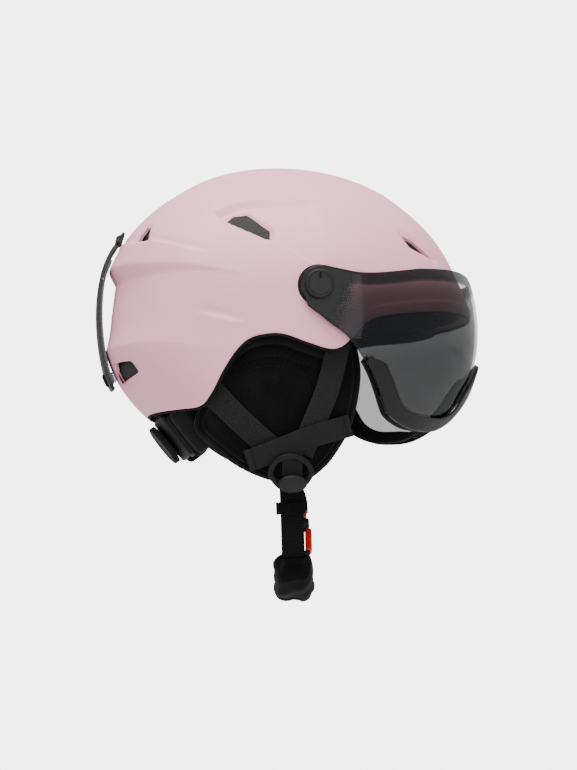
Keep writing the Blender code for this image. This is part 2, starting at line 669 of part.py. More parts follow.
def build_visor(mats):
    rows = []
    for i in range(LENS_ROWS + 1):
        row = []
        for angle in both_sides(LENS_ANGLES):
            low, high = lens_span(near_angle(angle))
            row.append(lens_point(angle, high + (low - high) * i / LENS_ROWS))
        rows.append(row)
    mesh = facing(grid_mesh("visor_lens", rows), Vector((-1, 0, 0)))
    lens = add_object("visor_lens", mesh, mats["lens"], origin=(0, HUB_Y, HUB_Z))
    solidify(smooth(lens, 60), LENS_THICK)

    for name, out, thick, width, mat in (
            ("visor_trim", TRIM_OUT, TRIM_THICK, TRIM_WIDTH, mats["hard_black"]),
            ("visor_seal", SEAL_OUT, SEAL_THICK, SEAL_WIDTH, mats["seal"])):
        strip = []
        for i in range(3):
            row = []
            for angle in both_sides(TRIM_ANGLES):
                low, _ = lens_span(near_angle(angle))
                lower = low - (0.0012 if out > 0 else -0.0002)
                point = lens_point(angle, lower + width * (1 - i / 2), out)
                row.append(point + trim_tilt(near_angle(angle), angle, width * (1 - i / 2)))
            strip.append(row)
        mesh = facing(grid_mesh(name, strip), Vector((-1, 0, 0)))
        piece = add_object(name, mesh, mat, origin=(0, HUB_Y, HUB_Z))
        solidify(smooth(piece, 60), thick)

    for label, side in SIDES:
        hole = cylinder_mesh("cut", STUB_R + RUNNING_GAP, (side * STUB_INNER, HUB_Y, HUB_Z),
                             (side * SOCKET_OUTER, HUB_Y, HUB_Z))
        cutter = add_object(f"cut_lens_{label}", hole, None, group=CUTTERS)
        boolean(lens, cutter)
        start = (side * HUB_DISC_INNER, HUB_Y, HUB_Z)
        hub = cylinder_mesh("hub", HUB_DISC_R, start, (side * HUB_DISC_OUTER, HUB_Y, HUB_Z))
        disc = add_object(f"visor_hub_{label}", hub, mats["hard_black"], origin=start)
        boolean(smooth(disc), cutter)


def trim_tilt(near, angle, rise):
    """Keeps the strip's width where the lens edge runs steeply: it leans forward."""
    lean = rise * (1 - ramp(near, 22, 40)) * 0.75 - rise * ramp(near, 66, 74) * 0.55 * (1 - ramp(near, 84, 90))
    base = lens_point(angle, 0.0)
    ahead = lens_point(angle + (1 if angle < 90 else -1), 0.0)
    return (ahead - base).normalized() * lean


def build_pivots(mats):
    """Fixed bosses on the shell, and the knobs that hold the visor on them."""
    for label, side in SIDES:
        def at(x):
            return (side * x, HUB_Y, HUB_Z)

        plate = cylinder_mesh("base", PIVOT_BASE_R, at(PIVOT_BASE_INNER), at(PIVOT_BASE_OUTER))
        base = smooth(add_object(f"pivot_base_{label}", plate, mats["hard_black"], origin=at(PIVOT_BASE_INNER)))
        stub = add_object(f"add_stub_{label}", cylinder_mesh("stub", STUB_R, at(STUB_INNER), at(STUB_OUTER)),
                          None, group=CUTTERS)
        boolean(base, stub, "UNION")
        knob_mesh = cylinder_mesh("knob", KNOB_R, at(KNOB_INNER), at(KNOB_OUTER), 36,
                                  radius_end=KNOB_R - 0.0004)
        knob = smooth(add_object(f"knob_{label}", knob_mesh, mats["knob"], origin=at(KNOB_INNER)))
        socket = cylinder_mesh("cut", STUB_R + RUNNING_GAP, at(KNOB_INNER - 0.001), at(SOCKET_OUTER))
        boolean(knob, add_object(f"cut_socket_{label}", socket, None, group=CUTTERS))
        mark = Matrix.Translation(Vector(at(KNOB_OUTER)) + Vector((0, 0, KNOB_MARK_RISE)))
        slot = box_mesh("cut", KNOB_MARK, mark)
        boolean(knob, add_object(f"cut_mark_{label}", slot, None, group=CUTTERS))


# ---------------------------------------------------------------- fit system
def arc_point(radius, angle, rise):
    """Point round the nape: angle 0 is the middle of the back, rise is along the arc's axis."""
    a = math.radians(angle)
    return (BAND_CENTRE + DIAL_AXIS * (radius * math.cos(a)) + Vector((1, 0, 0)) * (radius * math.sin(a))
            + BAND_AXIS * rise)


def arc_mesh(name, radius, angles, rises, columns):
    (a0, a1), (r0, r1) = angles, rises
    rows = [[arc_point(radius, a0 + (a1 - a0) * j / columns, r) for j in range(columns + 1)]
            for r in (r0, r1)]
    return facing(grid_mesh(name, rows), arc_point(1, (a0 + a1) / 2, 0) - arc_point(0, 0, 0))


def build_fit_system(mats):
    """Nape cradle, two toothed bands and the dial that draws them in."""
    cradle = arc_mesh("neck_cradle", CRADLE_R, (-40, 40), (-0.0205, 0.013), 12)
    solidify(add_object("neck_cradle", cradle, mats["hard_black"]), CRADLE_THICK)
    pad = arc_mesh("neck_pad", NECK_PAD_R, (-38, 38), (-0.0225, 0.0125), 12)
    solidify(smooth(add_object("neck_pad", pad, mats["fleece"])), NECK_PAD_THICK)
    face = arc_mesh("fit_housing", HOUSING_R, (-HOUSING_HALF, HOUSING_HALF), (-0.0190, 0.0185), 8)
    cover = add_object("fit_housing", face, mats["hard_black"])
    solidify(cover, HOUSING_THICK)
    for label, rises in (("low", (-0.0186, -0.0125)), ("high", (0.0125, 0.0181))):
        bar = arc_mesh("wall", WALL_R, (-WALL_HALF, WALL_HALF), rises, 7)
        wall = add_object(f"add_wall_{label}", bar, None, group=CUTTERS)
        solidify(wall, WALL_THICK)
        boolean(cover, wall, "UNION")
    middle = arc_point(0, 0, 0)
    hole = cylinder_mesh("cut", DIAL_HOLE_R, middle + DIAL_AXIS * 0.080, middle + DIAL_AXIS * 0.090)
    boolean(cover, add_object("cut_dial", hole, None, group=CUTTERS))

    near = PINION_R + BAND_CLEAR
    far = near + BAND_WIDTH
    for label, side, rises in (("right", -1, (near, far)), ("left", 1, (-far, -near))):
        angles = sorted((side * BAND_END, -side * BAND_PAST_MIDDLE))
        band = arc_mesh("fit_band", BAND_R, angles, rises, 15)
        solidify(add_object(f"fit_band_{label}", band, mats["band"], origin=BAND_CENTRE), BAND_THICK)
        rise = sum(rises) / 2
        span = sorted(side * a for a in GUIDE_ANGLES)
        out = arc_mesh("guide", GUIDE_R, span, (rise - GUIDE_HALF, rise + GUIDE_HALF), 2)
        solidify(add_object(f"band_guide_{label}", out, mats["hard_black"]), GUIDE_THICK)

    shaft = cylinder_mesh("shaft", SHAFT_R, middle + DIAL_AXIS * 0.0792, middle + DIAL_AXIS * 0.0869, 20)
    gear = cylinder_mesh("gear", PINION_R, middle + DIAL_AXIS * 0.0797, middle + DIAL_AXIS * 0.0819, 20)
    pinion = add_object("dial_pinion", shaft, mats["hard_black"], origin=middle + DIAL_AXIS * 0.08)
    boolean(pinion, add_object("add_gear", gear, None, group=CUTTERS), "UNION")
    dial = cylinder_mesh("fit_dial", DIAL_R, middle + DIAL_AXIS * DIAL_FOOT, middle + DIAL_AXIS * DIAL_TOP, 32,
                         radius_end=DIAL_R - 0.001)
    smooth(add_object("fit_dial", dial, mats["dial"], origin=middle + DIAL_AXIS * DIAL_FOOT))

    for label, side in SIDES:
        foot = arc_point(0.0790, side * 30, 0.0136)
        head = Vector((side * 0.043, 0.0810, -0.0175))
        line = polyline([foot, (foot + head) / 2 + Vector((0, 0.002, 0)), head], 4)
        rows = [[p + Vector((dx, 0, 0)) for dx in (-HANGER_HALF, HANGER_HALF)] for p in line]
        mesh = facing(grid_mesh("cradle_hanger", rows), Vector((0, 1, 0)))
        solidify(add_object(f"cradle_hanger_{label}", mesh, mats["hard_black"]), HANGER_THICK)


# ---------------------------------------------------------------- chin loop
CHIN_RIGHT = [(-0.0605, -0.0013, -0.0846), (-0.0578, -0.0020, -0.0930), (-0.0538, -0.0030, -0.1080),
              (-0.0465, -0.0045, -0.1275), (-0.0330, -0.0065, -0.1435), (-0.0175, -0.0082, -0.1540),
              (0.0, -0.0105, -0.1578), (0.0160, -0.0138, -0.1550), (0.0282, -0.0164, -0.1475),
              (0.0352, -0.0182, -0.1372)]
CHIN_LEFT = [(0.0604, -0.0155, -0.0738), (0.0578, -0.0170, -0.0785), (0.0565, -0.0186, -0.0830),
             (0.0567, -0.0198, -0.0870), (0.0572, -0.0203, -0.0900)]
BUCKLE_TOP = Vector((0.0585, -0.0206, -0.0942))
BUCKLE_FOOT = Vector((0.0335, -0.0188, -0.1392))


def ribbon_mesh(name, points, width, out_side):
    """Webbing along a 3-D line, its width lying near Y; thickness is added inwards."""
    rows = []
    for i, p in enumerate(points):
        ahead = (points[min(i + 1, len(points) - 1)] - points[max(i - 1, 0)]).normalized()
        across = (Vector((0, 1, 0)) - ahead * ahead.y).normalized()
        rows.append([p - across * width / 2, p, p + across * width / 2])
    return facing(grid_mesh(name, rows), out_side)


def buckle_turn():
    """The buckle's own axes: X across it, Y down it, Z outwards."""
    down = (BUCKLE_FOOT - BUCKLE_TOP).normalized()
    across = (Vector((0, -1, 0)) - down * -down.y).normalized()
    out = across.cross(down).normalized()
    return Matrix((across, down, out)).transposed().to_4x4()


def buckle_box(name, size, centre):
    """Box in the buckle's own axes: centre is (across, down from its top, out)."""
    turn = buckle_turn()
    spot = BUCKLE_TOP + turn @ Vector(centre)
    return box_mesh(name, size, Matrix.Translation(spot) @ turn)


def build_chin_loop(mats):
    pivot = (0, CHIN_AXIS_Y, CHIN_AXIS_Z)
    line = polyline(CHIN_RIGHT, 26)
    mesh = ribbon_mesh("chin_strap_right", line, WEBBING, Vector((-1, 0, 0)))
    solidify(add_object("chin_strap_right", mesh, mats["webbing"], origin=pivot), WEBBING_THICK)
    mesh = ribbon_mesh("chin_strap_left", polyline(CHIN_LEFT, 7), WEBBING, Vector((1, 0, 0)))
    solidify(add_object("chin_strap_left", mesh, mats["webbing"], origin=pivot), WEBBING_THICK)

    # the pad is two layers of fleece, under and over the webbing
    inner = line[12:22]
    rows = []
    for offset in (CHIN_PAD_UNDER, CHIN_PAD_OVER):
        loops = []
        for i, p in enumerate(inner):
            ahead = (inner[min(i + 1, len(inner) - 1)] - inner[max(i - 1, 0)]).normalized()
            across = (Vector((0, 1, 0)) - ahead * ahead.y).normalized()
            out = across.cross(ahead).normalized()
            if out.z > 0:
                out.negate()
            loops.append([p + out * offset + across * s * CHIN_PAD_WIDTH / 2 for s in (-1, 0, 1)])
        rows.append(loops)
    under = facing(grid_mesh("chin_pad_cover", rows[0]), Vector((-0.3, 0, -1)))
    solidify(smooth(add_object("chin_pad_cover", under, mats["fleece"], origin=pivot)), 0.0058)
    over = facing(grid_mesh("chin_pad", rows[1]), Vector((0.3, 0, 1)))
    over.flip_normals()
    solidify(smooth(add_object("chin_pad", over, mats["fleece"], origin=pivot)), 0.0060)

    build_buckle(mats, pivot)
    build_keeper(mats, pivot, line)


def build_buckle(mats, pivot):
    """Side-release buckle: body at the foot, red tabs squeezed in from its edges."""
    body = add_object("buckle_body", buckle_box("buckle_body", BUCKLE_BODY, (0, BUCKLE_BODY_DOWN, 0)),
                      mats["hard_black"], origin=pivot)
    cuts = [("cut_pocket", POCKET, (0, POCKET_DOWN, 0)),
            ("cut_window_front", WINDOW, (WINDOW_ACROSS, TAB_DOWN, 0)),
            ("cut_window_rear", WINDOW, (-WINDOW_ACROSS, TAB_DOWN, 0))]
    for name, size, centre in cuts:
        boolean(body, add_object(name, buckle_box(name, size, centre), None, group=CUTTERS))
    tongue = add_object("buckle_tongue", buckle_box("buckle_tongue", TONGUE_HEAD, (0, TONGUE_DOWN, 0)),
                        mats["red"], origin=pivot)
    blade = buckle_box("blade", BLADE, (0, BLADE_DOWN, 0))
    boolean(tongue, add_object("add_blade", blade, None, group=CUTTERS), "UNION")
    for label, side in (("front", 1), ("rear", -1)):
        tab = buckle_box("tab", TAB, (side * TAB_ACROSS, TAB_DOWN, 0))
        add_object(f"release_tab_{label}", tab, mats["red"], origin=pivot)


def build_keeper(mats, pivot, line):
    """Rubber keeper round the long strap, holding its loose end."""
    k = KEEPER_POINT
    ahead = (line[k + 1] - line[k - 1]).normalized()
    across = (Vector((0, 1, 0)) - ahead * ahead.y).normalized()
    out = across.cross(ahead).normalized()
    turn = Matrix((across, ahead, out)).transposed().to_4x4()
    middle = line[k] + Vector((WEBBING_THICK / 2, 0, 0))
    frame = Matrix.Translation(middle + across * KEEPER_SHIFT) @ turn
    keeper = add_object("strap_keeper", box_mesh("strap_keeper", KEEPER, frame), mats["rubber"], origin=pivot)
    hole = box_mesh("cut", KEEPER_HOLE, Matrix.Translation(middle) @ turn)
    boolean(keeper, add_object("cut_keeper", hole, None, group=CUTTERS))


# ---------------------------------------------------------------- goggle clip
CLIP_LINE = [(0.1290, 0.1080), (0.1352, 0.0975), (0.1405, 0.0830), (0.1430, 0.0640), (0.1430, 0.0440),
             (0.1408, 0.0240), (0.1368, 0.0060), (0.1325, -0.0040), (0.1303, -0.0070)]


def build_goggle_clip(mats):
    """Elastic goggle clip down the back, hinged at its top and snapped at its foot."""
    pin = (0, CLIP_PIN_Y, CLIP_PIN_Z)
    line = polyline([(0, y, z) for y, z in CLIP_LINE], 18)
    rows = [[p + Vector((dx, 0, 0)) for dx in (-CLIP_WIDTH / 2, 0, CLIP_WIDTH / 2)] for p in line]
    strap = facing(grid_mesh("goggle_clip", rows), Vector((0, 1, 0)))
    solidify(smooth(add_object("goggle_clip", strap, mats["clip"], origin=pin), 50), CLIP_THICK)

    plate = Vector((0, 0.1226, 0.1112))
    normal = Vector((0, 0.76, 0.65)).normalized()
    up = Vector((0, -normal.z, normal.y))
    turn = Matrix((Vector((1, 0, 0)), up, normal)).transposed().to_4x4()
    frame = Matrix.Translation(plate + up * 0.0042 + normal * 0.0008) @ turn
    anchor = add_object("clip_anchor", box_mesh("anchor", CLIP_ANCHOR, frame), mats["hard_black"])
    anchor.modifiers.new("edge", "BEVEL").width = 0.0003
    face = Vector((0, BUTTON_Y, BUTTON_Z))
    out = Vector((0, 0.912, -0.410)).normalized()
    cap = cylinder_mesh("clip_button", BUTTON_R, face + out * 0.0006, face + out * 0.0022, 20,
                        radius_end=0.0044)
    smooth(add_object("clip_button", cap, mats["steel"], origin=pin))
    stud = cylinder_mesh("clip_stud", 0.0042, face - out * 0.0056, face - out * 0.0068, 20)
    add_object("clip_stud", stud, mats["steel"])


def make_materials():
    return {
        "shell": material("shell_pink", (0.63, 0.46, 0.49), 0.55),
        "foam": material("black_foam", (0.02, 0.02, 0.022), 0.9),
        "rubber": material("black_rubber", (0.015, 0.015, 0.016), 0.7),
        "net": material("vent_net", (0.02, 0.02, 0.022), 0.9),
        "knit": material("knit_lining", (0.018, 0.018, 0.02), 0.95),
        "fleece": material("black_fleece", (0.010, 0.010, 0.011), 1.0),
        "webbing": material("webbing", (0.016, 0.016, 0.018), 0.8),
        "elastic": material("elastic_band", (0.018, 0.018, 0.019), 0.75),
        "hard_black": material("black_nylon", (0.02, 0.02, 0.022), 0.5),
        "knob": material("knob_black", (0.022, 0.022, 0.024), 0.45),
        "dial": material("dial_black", (0.02, 0.02, 0.022), 0.55),
        "band": material("fit_band", (0.025, 0.025, 0.027), 0.45),
        "seal": material("visor_foam", (0.015, 0.015, 0.016), 0.95),
        "lens": material("smoke_lens", (0.10, 0.10, 0.115), 0.08, alpha=0.6),
        "red": material("buckle_red", (0.60, 0.02, 0.015), 0.4),
        "steel": material("steel", (0.45, 0.45, 0.47), 0.35, metallic=1.0),
        "clip": material("clip_rubber", (0.03, 0.03, 0.033), 0.65),
    }


clear_scene()
PARTS = make_collection("ski_helmet")
CUTTERS = make_collection("cutters")
MATERIALS = make_materials()
build_shell(MATERIALS)
build_nets(MATERIALS)
build_comfort_pads(MATERIALS)
for side_label, side_sign in SIDES:
    build_ear_side(MATERIALS, side_label, side_sign)
build_visor(MATERIALS)
build_pivots(MATERIALS)
build_fit_system(MATERIALS)
build_chin_loop(MATERIALS)
build_goggle_clip(MATERIALS)
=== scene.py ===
"""Looks of the ski helmet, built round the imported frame.

Metres, +Z up.  The wearer faces -Y, so the wearer's right side is -X.
"""
import json
import math

import bmesh
import bpy
import numpy as np
from mathutils import Matrix, Vector

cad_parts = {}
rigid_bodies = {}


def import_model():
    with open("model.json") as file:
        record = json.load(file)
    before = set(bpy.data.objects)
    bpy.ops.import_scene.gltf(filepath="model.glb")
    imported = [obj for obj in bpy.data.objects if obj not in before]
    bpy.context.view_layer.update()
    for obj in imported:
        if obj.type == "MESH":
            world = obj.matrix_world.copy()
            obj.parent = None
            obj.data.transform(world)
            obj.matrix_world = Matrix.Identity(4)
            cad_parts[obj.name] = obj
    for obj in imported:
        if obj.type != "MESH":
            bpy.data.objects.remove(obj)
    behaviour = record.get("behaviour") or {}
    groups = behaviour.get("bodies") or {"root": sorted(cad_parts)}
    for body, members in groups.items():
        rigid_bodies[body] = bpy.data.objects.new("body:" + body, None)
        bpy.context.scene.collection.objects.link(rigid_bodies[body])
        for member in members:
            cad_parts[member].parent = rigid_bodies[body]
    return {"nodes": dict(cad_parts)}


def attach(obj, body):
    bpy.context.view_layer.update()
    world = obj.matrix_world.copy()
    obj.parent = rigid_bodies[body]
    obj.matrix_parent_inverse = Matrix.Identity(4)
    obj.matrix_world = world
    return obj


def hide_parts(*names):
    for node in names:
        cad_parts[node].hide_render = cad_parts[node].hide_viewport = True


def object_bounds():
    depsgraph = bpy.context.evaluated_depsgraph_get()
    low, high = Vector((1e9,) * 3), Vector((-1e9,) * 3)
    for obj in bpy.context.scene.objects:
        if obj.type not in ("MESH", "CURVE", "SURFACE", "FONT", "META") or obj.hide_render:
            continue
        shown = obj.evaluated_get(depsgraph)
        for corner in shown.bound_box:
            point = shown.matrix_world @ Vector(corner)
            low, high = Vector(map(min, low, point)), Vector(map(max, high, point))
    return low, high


for old in list(bpy.data.objects):
    bpy.data.objects.remove(old, do_unlink=True)

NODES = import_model()["nodes"]
CAD_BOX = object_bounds()

# ---------------------------------------------------------------- sizes shared with the frame
CENTRE_Y, CENTRE_Z = 0.001, 0.052
HALF_WIDTH, FRONT_LENGTH, REAR_LENGTH, CROWN_HEIGHT = 0.106, 0.144, 0.139, 0.116
PLAN_POWER = 2.1
TUCK_DEPTH, TUCK_REAR, TUCK_SIDE = 0.076, 0.245, 0.06
SHELL_THICK = 0.0024
BROW_FLARE = 0.0060
LINER_INSET, LINER_THICK = 0.0062, 0.0170
HUB_Y, HUB_Z = -0.016, 0.062
LENS_HALF_WIDTH, LENS_FRONT_Y, LENS_PROFILE_R, LENS_MID_Z = 0.1109, -0.1555, 0.125, 0.042
LENS_THICK = 0.0022
WEBBING, WEBBING_THICK, WEBBING_EDGE = 0.0175, 0.0012, 0.0003
PAD_DEPTH, PAD_CURL, LEFT_FORWARD, LEFT_UP = 0.010, 0.019, 0.014, 0.012
PAD_THICK, PAD_GAP, PAD_SWELL, BROW_PAD_IN = 0.007, 0.0016, 0.0006, 0.0025
LENS_END_R = 0.0140
CLIP_WIDTH = 0.026
BAND_CENTRE = np.array([0, 0.020, 0.0083])
DIAL_AXIS = np.array([0, 0.778, -0.629]) / np.hypot(0.778, 0.629)
BAND_AXIS = np.array([0, 0.629, 0.778]) / np.hypot(0.629, 0.778)

# lower edge of the shell in side view, from the brow to the nape: (y, z)
SHELL_EDGE = [(-0.145, 0.0515), (-0.113, 0.049), (-0.068, 0.042), (-0.054, 0.037), (-0.043, 0.0255),
              (-0.034, 0.0175), (-0.025, 0.0155), (-0.008, 0.0200), (0.010, 0.0258), (0.024, 0.0255),
              (0.036, 0.0215), (0.045, 0.0125), (0.054, -0.002), (0.0605, -0.0155), (0.067, -0.0245),
              (0.078, -0.0265), (0.142, -0.026)]

# vents in side view: (outline, width and depth of the chamfer round them, distance kept from the middle)
VENTS = [
    ([(0.048, 0.113), (0.044, 0.1165), (0.036, 0.118), (0.0195, 0.1045), (0.0195, 0.100), (0.022, 0.099)],
     0.0050, 0.0026, 0.045),
    ([(0.1165, 0.1035), (0.1085, 0.1015), (0.1045, 0.1145), (0.1075, 0.1150)], 0.0030, 0.0010, 0.020),
    ([(0.1305, 0.012), (0.119, 0.011), (0.113, 0.002), (0.1245, -0.0035)], 0.0025, 0.0008, 0.014),
    ([(-0.0845, 0.1078), (-0.0955, 0.1042), (-0.1115, 0.0912), (-0.0915, 0.0982)], 0.0040, 0.0013, 0.030),
]

EAR_PAD = [(0.064, -0.018), (0.072, -0.038), (0.063, -0.053), (0.041, -0.071), (0.015, -0.082),
           (-0.009, -0.082), (-0.025, -0.071), (-0.036, -0.056), (-0.044, -0.040), (-0.049, -0.018),
           (-0.050, 0.004), (-0.044, 0.024), (-0.030, 0.028), (-0.008, 0.031), (0.012, 0.0355),
           (0.028, 0.034), (0.042, 0.024), (0.055, 0.004)]

SIDES = (("right", -1), ("left", 1))


# ---------------------------------------------------------------- small maths
def curve(points, x):
    """Smooth curve through (x, value) points for an array of x, level beyond the ends."""
    px, pv = np.array(points, float).T
    x = np.clip(np.asarray(x, float), px[0], px[-1])
    k = np.clip(np.searchsorted(px, x, side="right") - 1, 0, len(px) - 2)
    low, high = np.maximum(np.arange(len(px)) - 1, 0), np.minimum(np.arange(len(px)) + 1, len(px) - 1)
    slope = (pv[high] - pv[low]) / (px[high] - px[low])
    h = px[k + 1] - px[k]
    t = (x - px[k]) / h
    return ((2 * t**3 - 3 * t**2 + 1) * pv[k] + (t**3 - 2 * t**2 + t) * h * slope[k]
            + (3 * t**2 - 2 * t**3) * pv[k + 1] + (t**3 - t**2) * h * slope[k + 1])


def ramp(value, low, high):
    t = np.clip((np.asarray(value, float) - low) / (high - low), 0, 1)
    return t * t * (3 - 2 * t)


def bevel(value, low, high):
    """A nearly straight rise from 0 to 1, so that both its edges read as creases."""
    t = np.clip((np.asarray(value, float) - low) / (high - low), 0, 1)
    return 0.3 * t * t * (3 - 2 * t) + 0.7 * t


def rounded_rise(share):
    """0 at the rim to 1, along a quarter circle."""
    return np.sqrt(np.clip(1 - (1 - np.clip(share, 0, 1)) ** 2, 0, 1))


def together(*values):
    """The values as float arrays of one shape."""
    return np.broadcast_arrays(*(np.asarray(v, float) for v in values))


def unit(v):
    v = np.asarray(v, float)
    return v / np.maximum(np.linalg.norm(v, axis=-1, keepdims=True), 1e-12)


def spline(points, count, closed=False):
    """Points read evenly from a smooth curve through the given points."""
    pts = np.array(points, float)
    n = len(pts)
    s = np.arange(count) * (n if closed else n - 1) / (count if closed else count - 1)
    k = np.minimum(s.astype(int), n - 1 if closed else n - 2)
    t = (s - k)[:, None]

    def at(i):
        return pts[i % n] if closed else pts[np.clip(i, 0, n - 1)]

    p0, p1, p2, p3 = at(k - 1), at(k), at(k + 1), at(k + 2)
    return 0.5 * (2 * p1 + (p2 - p0) * t + (2 * p0 - 5 * p1 + 4 * p2 - p3) * t**2
                  + (3 * p1 - p0 - 3 * p2 + p3) * t**3)


def resample(line, count):
    """The same line with points at equal distances along it."""
    line = np.asarray(line, float)
    run = np.concatenate([[0], np.cumsum(np.linalg.norm(np.diff(line, axis=0), axis=1))])
    at = np.linspace(0, run[-1], count)
    return np.stack([np.interp(at, run, line[:, k]) for k in range(line.shape[1])], axis=1)


def length_of(line):
    return float(np.linalg.norm(np.diff(line, axis=0), axis=1).sum())


def outline_distance(outline, y, z):
    """Distance to a closed outline in side view, negative inside it, and the nearest point."""
    pts = np.array(outline, float)
    best = np.full(y.shape, 1e9)
    near = np.zeros(y.shape + (2,))
    inside = np.zeros(y.shape, bool)
    for a, b in zip(pts, np.roll(pts, -1, axis=0)):
        d = b - a
        t = np.clip(((y - a[0]) * d[0] + (z - a[1]) * d[1]) / (d @ d), 0, 1)
        py, pz = a[0] + t * d[0], a[1] + t * d[1]
        dist = np.hypot(y - py, z - pz)
        closer = dist < best
        best = np.where(closer, dist, best)
        near[closer] = np.stack([py, pz], -1)[closer]
        crosses = (a[1] > z) != (b[1] > z)
        with np.errstate(divide="ignore", invalid="ignore"):
            at = a[0] + (z - a[1]) / (b[1] - a[1]) * (b[0] - a[0])
        inside ^= crosses & (y < at)
    return np.where(inside, -best, best), near


def rounded(outline, radius, steps=5):
    """An outline with its corners rounded."""
    pts = np.array(outline, float)
    out = []
    for prev, here, following in zip(np.roll(pts, 1, axis=0), pts, np.roll(pts, -1, axis=0)):
        a, b = prev - here, following - here
        cut = min(radius, 0.45 * np.linalg.norm(a), 0.45 * np.linalg.norm(b))
        start, end = here + unit(a) * cut, here + unit(b) * cut
        for t in np.linspace(0, 1, steps):
            out.append((1 - t) ** 2 * start + 2 * t * (1 - t) * here + t * t * end)
    return np.array(out)


# ---------------------------------------------------------------- meshes
def make_object(name, verts, faces, mats, uv=None, smooth=40, which=None):
    """A mesh object; uv holds one pair per vertex, which the material index per face."""
    mesh = bpy.data.meshes.new(name)
    mesh.from_pydata(np.asarray(verts, float).reshape(-1, 3).tolist(), [], [list(map(int, f)) for f in faces])
    obj = bpy.data.objects.new(name, mesh)
    bpy.context.scene.collection.objects.link(obj)
    for mat in mats if isinstance(mats, (list, tuple)) else [mats]:
        mesh.materials.append(mat)
    if which is not None:
        mesh.polygons.foreach_set("material_index", np.asarray(which, np.int32))
    if uv is not None:
        layer = mesh.uv_layers.new(name="UVMap")
        loops = np.zeros(len(mesh.loops), np.int32)
        mesh.loops.foreach_get("vertex_index", loops)
        layer.data.foreach_set("uv", np.asarray(uv, np.float32).reshape(-1, 2)[loops].ravel())
    mesh.shade_smooth()
    mesh.set_sharp_from_angle(angle=math.radians(smooth))
    mesh.update()
    return obj


def grid_faces(rows, cols, closed=False, start=0):
    i, j = np.meshgrid(np.arange(rows - 1), np.arange(cols if closed else cols - 1), indexing="ij")
    k = (j + 1) % cols
    quads = np.stack([i * cols + j, (i + 1) * cols + j, (i + 1) * cols + k, i * cols + k], -1)
    return quads.reshape(-1, 4) + start


def thicken(verts, faces, inwards):
    """Closed solid from an open surface: a second layer at verts + inwards, joined round the rim."""
    count = len(verts)
    faces = [tuple(f) for f in faces]
    edges = {}
    for f in faces:
        for a, b in zip(f, f[1:] + f[:1]):
            edges[(a, b)] = edges.get((a, b), 0) + 1
    rim = [(a, b) for a, b in edges if (b, a) not in edges]
    both = faces + [tuple(v + count for v in reversed(f)) for f in faces]
    both += [(b, a, a + count, b + count) for a, b in rim]
    return np.concatenate([verts, verts + inwards]), both


def fix_normals(obj):
    bm = bmesh.new()
    bm.from_mesh(obj.data)
    bmesh.ops.recalc_face_normals(bm, faces=bm.faces)
    bm.to_mesh(obj.data)
    bm.free()
    return obj


def section(width, thick, radius, steps=4):
    """Closed rounded-rectangle section, centred: (across, out) pairs."""
    radius = min(radius, thick / 2 * 0.98, width / 2 * 0.98)
    pts = []
    for cx, cy, a0 in ((1, 1, 0), (-1, 1, 90), (-1, -1, 180), (1, -1, 270)):
        for s in range(steps + 1):
            a = math.radians(a0 + 90 * s / steps)
            pts.append((cx * (width / 2 - radius) + radius * math.cos(a),
                        cy * (thick / 2 - radius) + radius * math.sin(a)))
    flat = []
    for a, b in zip(pts, pts[1:] + pts[:1]):
        flat.append(a)
        if math.dist(a, b) > width * 0.4:
            flat += [(a[0] + (b[0] - a[0]) * k / 5, a[1] + (b[1] - a[1]) * k / 5) for k in range(1, 5)]
    return np.array(flat)


def tube(name, pts, mat, uv=None, closed=False, smooth=40):
    """A closed solid through rings of points; pts is (rings, points of a ring, 3)."""
    count, size = pts.shape[:2]
    faces = []
    for i in range(count if closed else count - 1):
        k = (i + 1) % count
        faces += [(i * size + j, k * size + j, k * size + (j + 1) % size, i * size + (j + 1) % size)
                  for j in range(size)]
    if not closed:
        faces += [tuple(range(size)), tuple(range((count - 1) * size, count * size))[::-1]]
    return fix_normals(make_object(name, pts.reshape(-1, 3), faces, mat, uv=uv, smooth=smooth))


def sweep(name, centres, across, out, sections, mat, closed=False):
    """A closed tube of the given section along centres; sections may differ at each one."""
    count = len(centres)
    if sections.ndim == 2:
        sections = np.repeat(sections[None], count, axis=0)
    pts = centres[:, None] + across[:, None] * sections[:, :, :1] + out[:, None] * sections[:, :, 1:]
    run = np.concatenate([[0], np.cumsum(np.linalg.norm(np.diff(centres, axis=0), axis=1))])
    uv = np.stack([sections[:, :, 0], np.repeat(run[:, None], sections.shape[1], axis=1)], -1)
    return tube(name, pts, mat, uv=uv, closed=closed)


def frames_along(line, across_hint):
    """Across and outward directions along a line, square to it."""
    ahead = unit(np.gradient(line, axis=0))
    hint = np.broadcast_to(np.asarray(across_hint, float), line.shape)
    across = unit(hint - ahead * (hint * ahead).sum(1, keepdims=True))
    return across, unit(np.cross(across, ahead))


